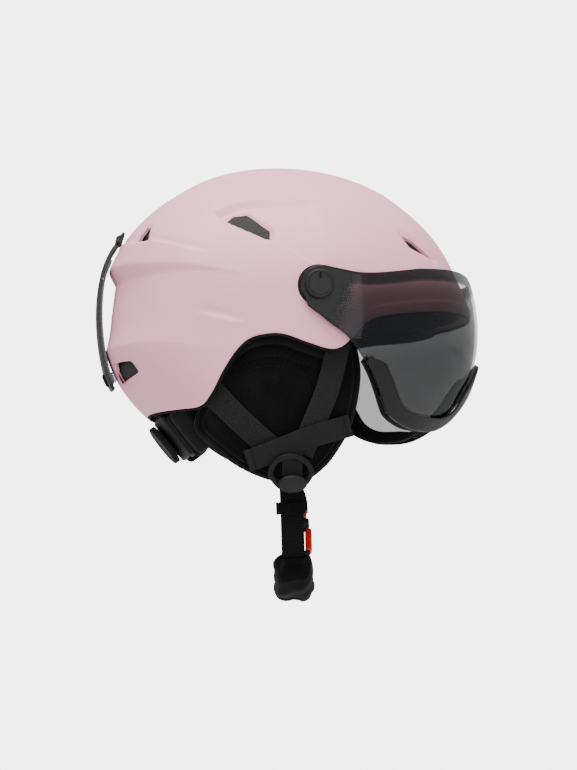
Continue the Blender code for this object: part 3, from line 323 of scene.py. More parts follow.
def lathe(name, profile, place, mat, segments=64, stretch=1.0, wobble=None, smooth=35):
    """A solid turned from (radius, height) points about the local Z of place."""
    profile = np.asarray(profile, float)
    angles = np.arange(segments) * 2 * math.pi / segments
    rows = []
    for i, (r, h) in enumerate(profile):
        rr = r * (1 + (wobble(i, angles) if wobble is not None else 0))
        rows.append(np.stack([rr * np.cos(angles), rr * np.sin(angles) * stretch, np.full(segments, h)], 1))
    pts = np.concatenate(rows + [[[0, 0, profile[0][1]]], [[0, 0, profile[-1][1]]]])
    faces = [tuple(f) for f in grid_faces(len(profile), segments, closed=True)]
    first, last = len(pts) - 2, len(pts) - 1
    top = (len(profile) - 1) * segments
    faces += [(first, j, (j + 1) % segments) for j in range(segments)]
    faces += [(last, top + (j + 1) % segments, top + j) for j in range(segments)]
    turn = np.array(place)
    pts = pts @ turn[:3, :3].T + turn[:3, 3]
    uv = np.concatenate([np.stack([np.full(segments, p[0]), np.full(segments, p[1])], 1) for p in profile]
                        + [np.zeros((2, 2))])
    return fix_normals(make_object(name, pts, faces, mat, uv=uv, smooth=smooth))


def axis_place(origin, axis, up=(0, 0, 1)):
    """4x4 whose Z is axis and whose Y is near up."""
    z = unit(axis)
    y = unit(np.asarray(up, float) - z * (np.asarray(up, float) @ z))
    x = np.cross(y, z)
    m = np.eye(4)
    m[:3, 0], m[:3, 1], m[:3, 2], m[:3, 3] = x, y, z, origin
    return m


def block(name, size, place, mat, edge=0.0006, segments=3):
    """Box with rounded edges."""
    bm = bmesh.new()
    bmesh.ops.create_cube(bm, size=1.0, matrix=Matrix.Diagonal((*size, 1.0)))
    bmesh.ops.bevel(bm, geom=bm.edges[:], offset=edge, segments=segments, affect="EDGES", profile=0.5)
    mesh = bpy.data.meshes.new(name)
    bm.to_mesh(mesh)
    bm.free()
    mesh.transform(Matrix(np.array(place).tolist()))
    mesh.materials.append(mat)
    mesh.shade_smooth()
    mesh.set_sharp_from_angle(angle=math.radians(30))
    obj = bpy.data.objects.new(name, mesh)
    bpy.context.scene.collection.objects.link(obj)
    return obj


def joined(name, parts):
    """Several solids as one piece."""
    main = parts[0]
    with bpy.context.temp_override(active_object=main, selected_editable_objects=parts, object=main):
        bpy.ops.object.join()
    main.name = name
    main.data.name = name
    return main


def finish_piece(obj, body, slot, *nodes):
    """Rides on a body and stands for CAD nodes; slot is not used."""
    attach(obj, body)
    if nodes:
        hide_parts(*nodes)
    return obj


# ---------------------------------------------------------------- materials
class Shader:
    """A Principled material with a few helpers for its nodes."""

    def __init__(self, name, colour, roughness, **sockets):
        self.mat = bpy.data.materials.new(name)
        self.mat.use_nodes = True
        self.tree = self.mat.node_tree
        self.main = self.tree.nodes["Principled BSDF"]
        self.main.inputs["Base Color"].default_value = (*colour, 1)
        self.main.inputs["Roughness"].default_value = roughness
        for key, value in sockets.items():
            self.main.inputs[key.replace("_", " ")].default_value = value

    def add(self, kind, **settings):
        node = self.tree.nodes.new(kind)
        for key, value in settings.items():
            if hasattr(node, key):
                setattr(node, key, value)
            else:
                node.inputs[key.replace("_", " ")].default_value = value
        return node

    def link(self, a, b):
        self.tree.links.new(a, b)

    def coords(self, kind="Object", scale=(1, 1, 1), turn=(0, 0, 0)):
        source = self.add("ShaderNodeTexCoord")
        mapping = self.add("ShaderNodeMapping", Scale=scale, Rotation=turn)
        self.link(source.outputs[kind], mapping.inputs["Vector"])
        return mapping.outputs["Vector"]

    def noise(self, scale, detail=2.0, vector=None, rough=0.5):
        node = self.add("ShaderNodeTexNoise", Scale=scale, Detail=detail, Roughness=rough)
        self.link(vector or self.coords(), node.inputs["Vector"])
        return node.outputs["Fac"]

    def math(self, op, a, b=None, clamp=False):
        node = self.add("ShaderNodeMath", operation=op, use_clamp=clamp)
        for i, value in enumerate((a, b)):
            if value is None:
                continue
            if isinstance(value, (int, float)):
                node.inputs[i].default_value = value
            else:
                self.link(value, node.inputs[i])
        return node.outputs[0]

    def mapped(self, value, low, high, to_low, to_high):
        node = self.add("ShaderNodeMapRange")
        for i, number in enumerate((low, high, to_low, to_high)):
            node.inputs[i + 1].default_value = number
        self.link(value, node.inputs["Value"])
        return node.outputs["Result"]

    def colours(self, factor, *stops):
        """Base colour from a ramp; stops are (position, colour)."""
        node = self.add("ShaderNodeValToRGB")
        while len(node.color_ramp.elements) < len(stops):
            node.color_ramp.elements.new(0.5)
        for element, (position, colour) in zip(node.color_ramp.elements, stops):
            element.position = position
            element.color = (*colour, 1)
        self.link(factor, node.inputs["Fac"])
        self.link(node.outputs["Color"], self.main.inputs["Base Color"])
        return node.outputs["Color"]

    def rough(self, factor, low, high):
        self.link(self.mapped(factor, 0.3, 0.7, low, high), self.main.inputs["Roughness"])

    def bump(self, height, distance, strength=1.0, after=None):
        node = self.add("ShaderNodeBump", Distance=distance, Strength=strength)
        self.link(height, node.inputs["Height"])
        if after is not None:
            self.link(after, node.inputs["Normal"])
        self.link(node.outputs["Normal"], self.main.inputs["Normal"])
        return node.outputs["Normal"]


def painted_shell():
    s = Shader("shell_paint", (0.64, 0.29, 0.365), 0.52, Specular_IOR_Level=0.36)
    cloud = s.noise(14, 3)
    s.colours(cloud, (0.35, (0.632, 0.288, 0.360)), (0.65, (0.650, 0.301, 0.374)))
    s.rough(s.noise(900, 2), 0.47, 0.58)
    grain = s.bump(s.noise(1500, 2), 0.00006, 0.45)
    s.bump(s.noise(110, 2), 0.00012, 0.30, after=grain)
    return s.mat


def plastic(name, colour, roughness, grain=1400, depth=0.00006, level=0.45):
    """Moulded plastic with a fine spark-eroded grain; level is the strength of its reflections."""
    s = Shader(name, colour, roughness, Specular_IOR_Level=level)
    light = tuple(c * 1.35 + 0.0006 for c in colour)
    s.colours(s.noise(60, 4), (0.3, colour), (0.75, light))
    s.rough(s.noise(240, 3), roughness - 0.06, roughness + 0.10)
    s.bump(s.noise(grain, 3), depth, 0.7)
    return s.mat


def fleece(name, colour, pile=900):
    """Short brushed pile: soft speckle, fuzzy edge and slight flattened patches."""
    s = Shader(name, colour, 0.95, Sheen_Weight=0.06, Sheen_Roughness=0.45, Specular_IOR_Level=0.05)
    speck = s.noise(pile, 5, rough=0.7)
    patch = s.noise(55, 3)
    both = s.math("MULTIPLY", speck, s.mapped(patch, 0.3, 0.7, 0.8, 1.2))
    s.colours(both, (0.3, tuple(c * 0.6 for c in colour)), (0.7, tuple(c * 1.7 + 0.0005 for c in colour)))
    fine = s.bump(speck, 0.0005, 0.7)
    s.bump(patch, 0.0012, 0.35, after=fine)
    return s.mat


def webbing_cloth(name, colour, pitch=0.00115, depth=0.00035, level=0.18, sheen=0.03):
    """Ribbed webbing: ribs across the strap, fine yarn along it, plain selvedges."""
    s = Shader(name, colour, 0.62, Sheen_Weight=sheen, Sheen_Roughness=0.4, Specular_IOR_Level=level)
    uv = s.coords("UV")
    split = s.add("ShaderNodeSeparateXYZ")
    s.link(uv, split.inputs[0])
    across, along = split.outputs[0], split.outputs[1]
    rib = s.math("SINE", s.math("MULTIPLY", along, 2 * math.pi / pitch))
    yarn = s.math("SINE", s.math("MULTIPLY", across, 2 * math.pi / (pitch * 0.72)))
    edge = s.mapped(s.math("ABSOLUTE", across), WEBBING / 2 - 0.0012, WEBBING / 2 - 0.0006, 1.0, 0.25)
    height = s.math("ADD", s.math("MULTIPLY", rib, edge), s.math("MULTIPLY", yarn, 0.28))
    dirt = s.noise(420, 4)
    # colour follows the rib height: painted shade in the grooves and painted highlight on the rib tops, with
    # random dirt noise added
    tone = s.math("ADD", s.mapped(height, -1.2, 1.2, 0.0, 0.75), s.math("MULTIPLY", dirt, 0.3))
    s.colours(tone, (0.15, tuple(c * 0.45 for c in colour)), (0.85, tuple(c * 1.5 for c in colour)))
    s.bump(height, depth, 0.8)
    return s.mat


def knit(name, colour):
    """Fine warp-knit lining: small staggered loops."""
    s = Shader(name, colour, 0.9, Sheen_Weight=0.06, Sheen_Roughness=0.5, Specular_IOR_Level=0.08)
    cell = s.add("ShaderNodeTexVoronoi", Scale=650)
    s.link(s.coords(scale=(1, 1, 0.8)), cell.inputs["Vector"])
    s.colours(cell.outputs["Distance"], (0.1, tuple(c * 1.5 for c in colour)),
              (0.7, tuple(c * 0.4 for c in colour)))
    s.bump(cell.outputs["Distance"], 0.0004, 0.6)
    return s.mat


def foam_beads():
    """Moulded bead foam, as the energy liner is."""
    s = Shader("bead_foam", (0.0070, 0.0070, 0.0072), 0.85, Specular_IOR_Level=0.10)
    cell = s.add("ShaderNodeTexVoronoi", Scale=320, feature="DISTANCE_TO_EDGE")
    s.link(s.coords(), cell.inputs["Vector"])
    # darker at the bead edges, where the bump is lowest: painted shade in the grooves between beads
    s.colours(cell.outputs["Distance"], (0.0, (0.0020, 0.0020, 0.0020)), (0.12, (0.0085, 0.0085, 0.0088)))
    s.bump(s.mapped(cell.outputs["Distance"], 0, 0.15, 0, 1), 0.0004, 0.6)
    return s.mat


def vent_net():
    s = Shader("vent_mesh", (0.02, 0.02, 0.022), 0.8)
    cell = s.add("ShaderNodeTexVoronoi", Scale=520)
    s.link(s.coords(), cell.inputs["Vector"])
    s.colours(cell.outputs["Distance"], (0.25, (0.0005, 0.0005, 0.0005)), (0.6, (0.0034, 0.0031, 0.0033)))
    s.bump(cell.outputs["Distance"], 0.0006, 0.8)
    return s.mat


def metal(name, colour, roughness):
    s = Shader(name, colour, roughness, Metallic=1.0)
    s.colours(s.noise(300, 3), (0.3, tuple(c * 0.85 for c in colour)), (0.7, colour))
    s.rough(s.noise(900, 2), roughness - 0.08, roughness + 0.1)
    s.bump(s.noise(1800, 2), 0.00004, 0.5)
    return s.mat


def halftone(s, across, up, pitch):
    """Distance to the nearest dot centre on a staggered grid, in pitches."""
    best = None
    for shift in (0.0, 0.5):
        parts = []
        for value in (across, up):
            cell = s.math("FRACT", s.math("ADD", s.math("DIVIDE", value, pitch), shift))
            gap = s.math("ABSOLUTE", s.math("SUBTRACT", cell, 0.5))
            parts.append(s.math("MULTIPLY", gap, gap))
        dist = s.math("SQRT", s.math("ADD", *parts))
        best = dist if best is None else s.math("MINIMUM", best, dist)
    return best


PRINT_BACK, PRINT_FRONT, DOT_PITCH = -0.0075, 0.0095, 0.00175      # the dotted fringe, from its edge


def smoke_lens():
    """Smoke-tinted lens; its print is opaque round the pivot and breaks into dots forward."""
    s = Shader("smoke_lens", (0.004, 0.004, 0.005), 0.06, Specular_IOR_Level=0.16, IOR=1.5)
    uv = s.coords("UV")
    split = s.add("ShaderNodeSeparateXYZ")
    s.link(uv, split.inputs[0])
    fringe, level = split.outputs[0], split.outputs[1]      # metres ahead of the print, metres below the top
    dots = halftone(s, fringe, level, DOT_PITCH)
    hole = s.mapped(fringe, PRINT_BACK, PRINT_FRONT, 0.02, 0.56)
    clear = s.math("LESS_THAN", dots, hole)
    beyond = s.math("GREATER_THAN", fringe, PRINT_FRONT)
    clear = s.math("MAXIMUM", clear, beyond)
    before = s.math("GREATER_THAN", fringe, PRINT_BACK)
    clear = s.math("MULTIPLY", clear, before)
    band = s.mapped(level, 0.0075, 0.0100, 0.87, 0.56)
    tint = s.mapped(level, 0.026, 0.050, 0.575, 0.672)
    soft = s.math("MAXIMUM", band, tint)
    alpha = s.math("ADD", s.math("MULTIPLY", clear, soft),
                   s.math("MULTIPLY", s.math("SUBTRACT", 1.0, clear), 0.97))
    s.link(alpha, s.main.inputs["Alpha"])
    s.link(s.mapped(clear, 0, 1, 0.34, 0.05), s.main.inputs["Roughness"])
    s.bump(s.noise(35, 2), 0.0002, 0.05)
    s.colours(clear, (0.0, (0.0040, 0.0040, 0.0046)), (1.0, (0.0046, 0.0054, 0.0066)))
    return s.mat


MATS = {
    "shell": painted_shell(),
    "nylon": plastic("black_nylon", (0.0032, 0.0032, 0.0036), 0.52, level=0.14),
    "trim": plastic("trim_plastic", (0.0030, 0.0030, 0.0036), 0.40, depth=0.00004, level=0.20),
    "knob": plastic("knob_plastic", (0.0042, 0.0044, 0.0043), 0.50, level=0.20),
    "dial": plastic("dial_rubber", (0.0036, 0.0033, 0.0034), 0.65, depth=0.00010, level=0.14),
    "rubber": plastic("black_rubber", (0.0020, 0.0020, 0.0022), 0.75, level=0.10),
    "clip": plastic("clip_rubber", (0.012, 0.012, 0.012), 0.55, depth=0.00012, level=0.25),
    # clip lining: a lighter grey with a painted pink reflection of the shell in its colour
    "clip_inner_pink_reflection": plastic("clip_lining", (0.055, 0.048, 0.050), 0.6, depth=0.00012),
    "fleece": fleece("black_fleece", (0.0022, 0.0021, 0.0023)),
    "pile": fleece("nape_pile", (0.0032, 0.0031, 0.0032), 620),
    "binding": fleece("pad_binding", (0.0032, 0.0032, 0.0032), 1300),
    "knit": knit("knit_lining", (0.0065, 0.0063, 0.0065)),
    "webbing": webbing_cloth("webbing", (0.0052, 0.0052, 0.0060)),
    "chin_webbing": webbing_cloth("chin_webbing", (0.0018, 0.0018, 0.0021), level=0.07, sheen=0.005),
    "keeper": plastic("keeper_rubber", (0.0016, 0.0016, 0.0017), 0.85, level=0.06),
    "elastic": webbing_cloth("elastic_band", (0.0046, 0.0044, 0.0044), 0.0007, 0.00012),
    "thread": plastic("thread", (0.0042, 0.0042, 0.0046), 0.8, level=0.10),
    "foam": foam_beads(),
    "net": vent_net(),
    "steel": metal("plated_steel", (0.42, 0.42, 0.44), 0.3),
    "red": plastic("buckle_red", (0.40, 0.006, 0.005), 0.3, depth=0.00002),
    "lens": smoke_lens(),
    "seal": knit("visor_foam", (0.0040, 0.0040, 0.0042)),
}


# ---------------------------------------------------------------- shell surface
def plan_radius(theta, inset):
    length = np.where(np.sin(theta) > 0, REAR_LENGTH, FRONT_LENGTH) - inset
    across = np.abs(np.cos(theta)) / (HALF_WIDTH - inset)
    along = np.abs(np.sin(theta)) / length
    return (across**PLAN_POWER + along**PLAN_POWER) ** (-1 / PLAN_POWER)


def ledge_height(y):
    return curve([(0.030, 0.068), (0.052, 0.074), (0.086, 0.081), (0.118, 0.0848), (0.134, 0.087)], y)


def lower_ridge_height(y):
    return curve([(0.060, 0.016), (0.072, 0.018), (0.100, 0.0227), (0.136, 0.0235)], y)


RECESS_PROFILE = [(0.0, 0.0), (0.10, 0.33), (0.25, 0.68), (0.45, 0.93), (0.62, 1.0),
                  (0.80, 0.95), (1.0, 0.85)]


def rear_recess(y, z):
    depth = curve([(0.035, 0.0), (0.070, 0.0020), (0.100, 0.0046), (0.125, 0.0085), (0.135, 0.0094)], y)
    top, low = ledge_height(y), lower_ridge_height(y)
    step = bevel((top - z) / curve([(0.060, 0.003), (0.130, 0.012)], y), 0.0, 1.0)
    return depth * step * curve(RECESS_PROFILE, (z - low) / (top - low))


def wide_recess(y, z):
    depth = curve([(0.030, 0.0), (0.080, 0.004), (0.125, 0.0095), (0.135, 0.0105)], y)
    return depth * ramp(z, 0.005, 0.030) * (1 - ramp(z, 0.088, 0.112))


def brow_flare(theta, z):
    return BROW_FLARE * (1 - ramp(z, 0.050, 0.090)) * ramp(-np.sin(theta), 0.30, 0.95)


def shell_points(theta, z, inset=0.0, recess=rear_recess):
    drop = z - CENTRE_Z
    base = plan_radius(theta, inset)
    above = np.sqrt(np.clip(1 - (drop / (CROWN_HEIGHT - inset)) ** 2, 0, 1))
    tuck = TUCK_REAR * np.maximum(0, np.sin(theta)) ** 2 + TUCK_SIDE * np.cos(theta) ** 2
    sink = np.maximum(-drop, 0) / TUCK_DEPTH
    below = 1 - tuck * (0.37 * sink**1.4 + 0.63 * sink**3)
    rho = base * np.where(drop >= 0, above, below) + brow_flare(theta, z)
    y = CENTRE_Y + rho * np.sin(theta)
    rho = rho - recess(y, z) * ramp(np.sin(theta), 0.0, 0.3)
    return np.stack([rho * np.cos(theta), CENTRE_Y + rho * np.sin(theta), z], -1)


def shell_edge(y):
    return curve(SHELL_EDGE, y)


def liner_edge(y):
    lift = 0.018 * ramp(y, -0.062, -0.046) * (1 - ramp(y, 0.070, 0.095)) + 0.002
    bridge = 0.020 * ramp(y, 0.040, 0.062) * (1 - ramp(y, 0.070, 0.095))
    return shell_edge(y) + lift + bridge


def edge_heights(theta, edge, inset, recess):
    z = np.full(theta.shape, CENTRE_Z)
    for _ in range(16):
        z = 0.5 * z + 0.5 * edge(shell_points(theta, z, inset, recess)[:, 1])
    return z


def surface_normals(points):
    """Outward unit normals of a grid of points whose rows close on themselves."""
    down = np.gradient(points, axis=0)
    round_ = np.roll(points, -1, axis=1) - np.roll(points, 1, axis=1)
    normal = unit(np.cross(down, round_))
    away = points - np.array([0, CENTRE_Y, CENTRE_Z])
    return normal * np.where((normal * away).sum(-1, keepdims=True) < 0, -1, 1)


RIDGES = [      # (line of (y, z), rise below the line, ends between which it fades in and out)
    ([(0.050, 0.0845), (0.062, 0.087), (0.079, 0.092), (0.096, 0.098), (0.109, 0.102), (0.126, 0.1045)],
     0.0019, (0.058, 0.092), (0.122, 0.128)),
    ([(0.030, 0.033), (0.043, 0.035), (0.058, 0.039), (0.074, 0.043)],
     0.0013, (0.034, 0.050), (0.060, 0.076)),
]


def relief(y, z, x):
    """Outward displacement of the shell for its scoops, ridges, chamfers and panel lines."""
    out = np.zeros(y.shape)
    top = curve([(-0.060, 0.134), (-0.005, 0.133), (0.014, 0.132), (0.034, 0.131),
                 (0.048, 0.127), (0.060, 0.1215)], y)
    low = curve([(-0.030, 0.069), (-0.010, 0.080), (0.001, 0.086), (0.021, 0.098),
                 (0.035, 0.105), (0.048, 0.112), (0.060, 0.1195)], y)
    depth = curve([(-0.060, 0.0), (-0.015, 0.0014), (0.020, 0.0030), (0.045, 0.0038), (0.060, 0.0038)], y)
    scoop = bevel(top - z, 0.0, 0.0060) * bevel(z - low, 0.0, 0.0016) * (1 - ramp(y, 0.0575, 0.0625))
    out -= depth * scoop * ramp(y, -0.026, -0.008)
    for line, rise, (a0, a1), (b0, b1) in RIDGES:
        below = curve(line, y) - z
        fade = ramp(y, a0, a1) * (1 - ramp(y, b0, b1))
        out += rise * fade * bevel(below, -0.0012, 0.0006) * np.exp(-np.maximum(below, 0) / 0.011)
        out -= 0.35 * rise * fade * np.exp(-(((below + 0.0035) / 0.0025) ** 2))
    panel = curve([(-0.105, 0.030), (-0.072, 0.037), (-0.020, 0.0395), (0.050, 0.036), (0.100, 0.026)], y)
    inside = 1 - bevel(np.abs(x), panel - 0.0011, panel + 0.0011)
    out += 0.0015 * inside * ramp(z, 0.118, 0.130) * ramp(y, -0.100, -0.070) * (1 - ramp(y, 0.050, 0.085))
    for outline, width, drop, inner in VENTS:
        dist, _ = outline_distance(outline, y, z)
        dist = np.maximum(dist, inner - np.abs(x))
        out -= drop * (1 - bevel(dist, 0.0, width))
        out -= 0.0004 * (1 - ramp(dist, 0.0, 0.0008))
    height = z - shell_edge(y)
    front = 1 - ramp(y, -0.066, -0.054)
    out += 0.0007 * (1 - bevel(height, 0.0075, 0.0090)) * front
    return out


def dome(columns, rows, inset, edge, recess, tail=(0.0018, 0.0011, 0.0006, 0.0003, 0.0)):
    """Angles and heights of a dome's grid, with close rows at its lower edge."""
    theta = np.arange(columns) * 2 * math.pi / columns
    low = edge_heights(theta, edge, inset, recess)
    height = CROWN_HEIGHT - inset
    polar_low = np.arccos((low - CENTRE_Z) / height)
    share = np.arange(1, rows + 1) / rows
    polar = polar_low[None] * share[:, None] * (1 - 0.0026 / (polar_low[None] * height))
    z = CENTRE_Z + height * np.cos(polar)
    z = np.concatenate([z, np.stack([low + t for t in tail])])
    return np.repeat(theta[None], len(z), axis=0), z


def cut_vents(theta, z, outlines):
    """Moves grid points to the vents' rims; returns the grid and which faces lie inside a vent."""
    rows, cols = theta.shape
    gone = np.zeros((rows - 1, cols), bool)
    for outline, inner in outlines:
        pts = shell_points(theta, z)
        y = pts[..., 1]
        dist, _ = outline_distance(outline, y, z)
        dist = np.maximum(dist, inner - np.abs(pts[..., 0]))
        mid = np.mean([dist[:-1], dist[1:], np.roll(dist, -1, 1)[:-1], np.roll(dist, -1, 1)[1:]], axis=0)
        hole = mid < 0
        gone |= hole
        around = np.zeros((rows, cols), int)
        for di in (0, 1):
            for dj in (0, 1):
                around[di:rows - 1 + di] += np.roll(hole, dj, axis=1).astype(int)
        rim = (around > 0) & (around < 4)
        if not rim.any():
            continue
        _, near = outline_distance(outline, y[rim], z[rim])
        t, want_y, want_z = theta[rim], near[:, 0], near[:, 1]
        for _ in range(12):
            here = shell_points(t, want_z)[:, 1]
            slope = (shell_points(t + 1e-4, want_z)[:, 1] - here) / 1e-4
            move = np.where(np.abs(slope) > 5e-3, (want_y - here) / np.where(slope == 0, 1, slope), 0)
            t = t + np.clip(move, -0.01, 0.01)
        theta, z = theta.copy(), z.copy()
        theta[rim], z[rim] = t, want_z
    return theta, z, gone


def build_shell():
    theta, z = dome(840, 250, 0.0, shell_edge, rear_recess)
    outlines = [(rounded(o, 0.0022), inner) for o, _, _, inner in VENTS]
    theta, z, gone = cut_vents(theta, z, outlines)
    base = shell_points(theta, z)
    normal = surface_normals(base)
    lift = relief(base[..., 1], z, base[..., 0])
    shell_row = np.arange(len(z)) >= len(z) - 5
    round_off = np.where(shell_row, 1, 0)[:, None] * 0.0005 * (1 - (z - z[-1:]) / 0.0018) ** 2
    pts = base + normal * (lift - round_off)[..., None]
    count = pts.shape[1]
    faces = grid_faces(len(z), count, closed=True)[~gone.ravel()]
    verts = np.concatenate([pts.reshape(-1, 3), [[0, CENTRE_Y, CENTRE_Z + CROWN_HEIGHT + 0.0009]]])
    normals = np.concatenate([normal.reshape(-1, 3), [[0, 0, 1]]])
    tip = len(verts) - 1
    faces = [tuple(f) for f in faces.tolist()] + [(tip, j, (j + 1) % count) for j in range(count)]
    used = np.unique(np.concatenate([np.array(f) for f in (faces[:-count], faces[-count:])], axis=None))
    remap = np.full(len(verts), -1)
    remap[used] = np.arange(len(used))
    verts, normals = verts[used], normals[used]
    faces = [tuple(remap[list(f)].tolist()) for f in faces]
    verts, faces = thicken(verts, faces, -normals * SHELL_THICK)
    shell = make_object("shell_skin", verts, faces, MATS["shell"], smooth=32)
    finish_piece(shell, "helmet", "shell", "outer_shell")


# ---------------------------------------------------------------- liner, trim and pads inside
def build_liner():
    """Bead-foam liner: a thick dome with a rolled lower edge."""
    theta, z = dome(200, 60, LINER_INSET, liner_edge, wide_recess, tail=(0.003, 0.0015, 0.0))
    pts = shell_points(theta, z, LINER_INSET, wide_recess)
    normal = surface_normals(pts)
    count = pts.shape[1]
    inner = pts - normal * LINER_THICK
    pts[-1] -= normal[-1] * 0.0018
    tip = CENTRE_Z + CROWN_HEIGHT - LINER_INSET
    verts = np.concatenate([pts.reshape(-1, 3), [[0, CENTRE_Y, tip]],
                            inner.reshape(-1, 3), [[0, CENTRE_Y, tip - LINER_THICK]]])
    half = len(verts) // 2
    top = [tuple(f) for f in grid_faces(len(z), count, closed=True).tolist()]
    top += [(half - 1, j, (j + 1) % count) for j in range(count)]
    faces = top + [tuple(v + half for v in reversed(f)) for f in top]
    last = (len(z) - 1) * count
    faces += [(last + (j + 1) % count, last + j, last + j + half, last + (j + 1) % count + half)
              for j in range(count)]
    liner = fix_normals(make_object("foam_liner", verts, faces, MATS["foam"], smooth=45))
    finish_piece(liner, "helmet", "foam", "eps_liner")


def build_edge_trim():
    """Rubber lip along the shell's whole lower edge."""
    theta = np.arange(720) * 2 * math.pi / 720
    low = edge_heights(theta, shell_edge, 0.0, rear_recess)
    rim = shell_points(theta, low)
    above = shell_points(theta, low + 0.002)
    along = unit(np.roll(rim, -1, 0) - np.roll(rim, 1, 0))
    out = unit(np.cross(along, above - rim))
    out *= np.where((out * (rim - [0, CENTRE_Y, 0])).sum(1, keepdims=True) < 0, -1, 1)
    down = unit(np.cross(along, out))
    down *= np.where(down[:, 2:] > 0, -1, 1)
    centre = rim - out * 0.0015 + down * 0.0012
    ring = section(0.0025, 0.0021, 0.0009, 3)
    lip = sweep("edge_lip", centre, out, down, ring, MATS["rubber"], closed=True)
    finish_piece(lip, "helmet", "rubber", "edge_trim")


def puffy_patch(name, theta, height, inset):
    """Soft pad on the liner's inner face, between two angles and two heights."""
    cols, rows = 90, 26
    u, v = np.linspace(0, 1, cols), np.linspace(0, 1, rows)
    turn = np.radians(theta[0] + (theta[1] - theta[0]) * u)
    uu, vv = np.meshgrid(u, v)
    tt = np.broadcast_to(turn, uu.shape)
    zz = height[0] + (height[1] - height[0]) * vv
    base = shell_points(tt, zz, inset, wide_recess)
    centre = np.array([0, CENTRE_Y, CENTRE_Z])
    outward = unit(base - centre)
    edge = np.minimum(np.minimum(uu, 1 - uu) * cols * 0.45, np.minimum(vv, 1 - vv) * rows * 0.5)
    full = rounded_rise(edge / 3.2)
    seams = 0.35 * np.exp(-(((vv - 0.5) * rows / 1.1) ** 2)) * (full > 0.9)
    depth = PAD_THICK * (0.35 + 0.65 * full) + PAD_SWELL * full - 0.0012 * seams
    verts = base.reshape(-1, 3)
    inwards = -(outward * depth[..., None]).reshape(-1, 3)
    verts, faces = thicken(verts, grid_faces(rows, cols).tolist(), inwards)
    pad = fix_normals(make_object(name, verts, faces, MATS["knit"], smooth=60))
    return pad


def build_comfort_pads():
    inset = LINER_INSET + LINER_THICK + PAD_GAP
    brow = puffy_patch("brow_comfort_pad", (208, 332), (0.040, 0.072), inset + BROW_PAD_IN)
    finish_piece(brow, "helmet", "lining", "brow_pad")
    for label, turn in (("right", (148, 204)), ("left", (-24, 32))):
        pad = puffy_patch(f"side_comfort_pad_{label}", turn, (0.060, 0.088), inset)
        finish_piece(pad, "helmet", "lining", f"side_pad_{label}")
    cols, rows = 120, 30
    angle = np.arange(cols) * 2 * math.pi / cols
    polar = np.radians(np.linspace(4, 40, rows))
    pp, aa = np.meshgrid(polar, angle, indexing="ij")
    top = CROWN_HEIGHT - inset
    base = shell_points(aa, CENTRE_Z + top * np.cos(pp), inset, wide_recess)
    outward = unit(base - np.array([0, CENTRE_Y, CENTRE_Z]))
    full = rounded_rise((np.radians(40) - pp) / np.radians(4.5))
    lobes = 0.0012 * np.exp(-((np.sin(3 * aa) * 9 * pp) ** 2)) * full
    depth = PAD_THICK * (0.35 + 0.65 * full) - lobes
    tip = CENTRE_Z + top
    verts = np.concatenate([base.reshape(-1, 3), [[0, CENTRE_Y, tip]]])
    inward = -np.concatenate([(outward * depth[..., None]).reshape(-1, 3), [[0, 0, PAD_THICK]]])
    count = len(verts) - 1
    faces = [tuple(f) for f in grid_faces(rows, cols, closed=True).tolist()]
    faces += [(count, j, (j + 1) % cols) for j in range(cols)]
    verts, faces = thicken(verts, faces, inward)
    crown = fix_normals(make_object("crown_comfort_pad", verts, faces, MATS["knit"], smooth=60))
    finish_piece(crown, "helmet", "lining", "crown_pad")


# ---------------------------------------------------------------- ear pads, straps and dividers
def on_side(y, z, out, side):
    """Points standing out from the ear pad's face; side is -1 for right, 1 for left."""
    y, z, out = together(y, z, out)
    bow = 2.6 * np.maximum(0, y - 0.005) ** 2 + 1.5 * np.minimum(0, y - 0.005) ** 2
    bow = bow + np.minimum(40 * np.maximum(0, y - 0.050) ** 2, 0.008)
    low = np.maximum(0, -z / 0.082)
    tuck = PAD_CURL * low**1.6
    slope = PAD_CURL * 1.6 * low**0.6 / 0.082
    grow = np.hypot(1, slope)
    drawn = low if side > 0 else 0 * low
    return np.stack([side * (0.097 - (0.025 - z) * 0.17 - bow - tuck + out / grow),
                     y - 0.12 * tuck - LEFT_FORWARD * drawn,
                     z + 0.11 * tuck + LEFT_UP * drawn - out * slope / grow], -1)


def side_strap(name, points, width, out, thick, side, mat, count=90):
    """Webbing lying on the ear pad; out is its outer face's stand-off."""
    line = resample(spline(points, 200), count)
    ahead = unit(np.gradient(line, axis=0))
    across = np.stack([-ahead[:, 1], ahead[:, 0]], 1)
    ring = section(width, thick, WEBBING_EDGE, 3)
    run = np.linspace(0, length_of(line), count)
    yz = line[:, None] + across[:, None] * ring[:, :1]
    lift = out - thick / 2 + ring[:, 1]
    pts = on_side(yz[..., 0], yz[..., 1], lift, side)
    uv = np.stack(np.broadcast_arrays(ring[:, 0], run[:, None]), -1)
    obj = tube(name, pts, mat, uv=uv)
    return obj


def stitches(name, lines, side, mat, pitch=0.0030, size=(0.0019, 0.0006, 0.0005)):
    """Rows of thread on the ear pad; each line is (points of (y, z), stand-off)."""
    verts, faces = [], []
    corners = np.array([(a, b, c) for a in (-1, 1) for b in (-1, 1) for c in (-1, 1)]) / 2
    quads = [(0, 1, 3, 2), (4, 6, 7, 5), (0, 4, 5, 1), (2, 3, 7, 6), (0, 2, 6, 4), (1, 5, 7, 3)]
    for points, out in lines:
        line = spline(points, 300)
        number = max(2, int(length_of(line) / pitch))
        line = resample(line, number)
        ahead = unit(np.gradient(line, axis=0))
        for p, a in zip(line, ahead):
            yz = p + corners[:, :1] * size[0] * a + corners[:, 1:2] * size[1] * np.array([-a[1], a[0]])
            start = len(verts) * 8
            verts.append(on_side(yz[:, 0], yz[:, 1], out + corners[:, 2] * size[2], side))
            faces += [tuple(start + k for k in q) for q in quads]
    return fix_normals(make_object(name, np.concatenate(verts), faces, mat, smooth=50))


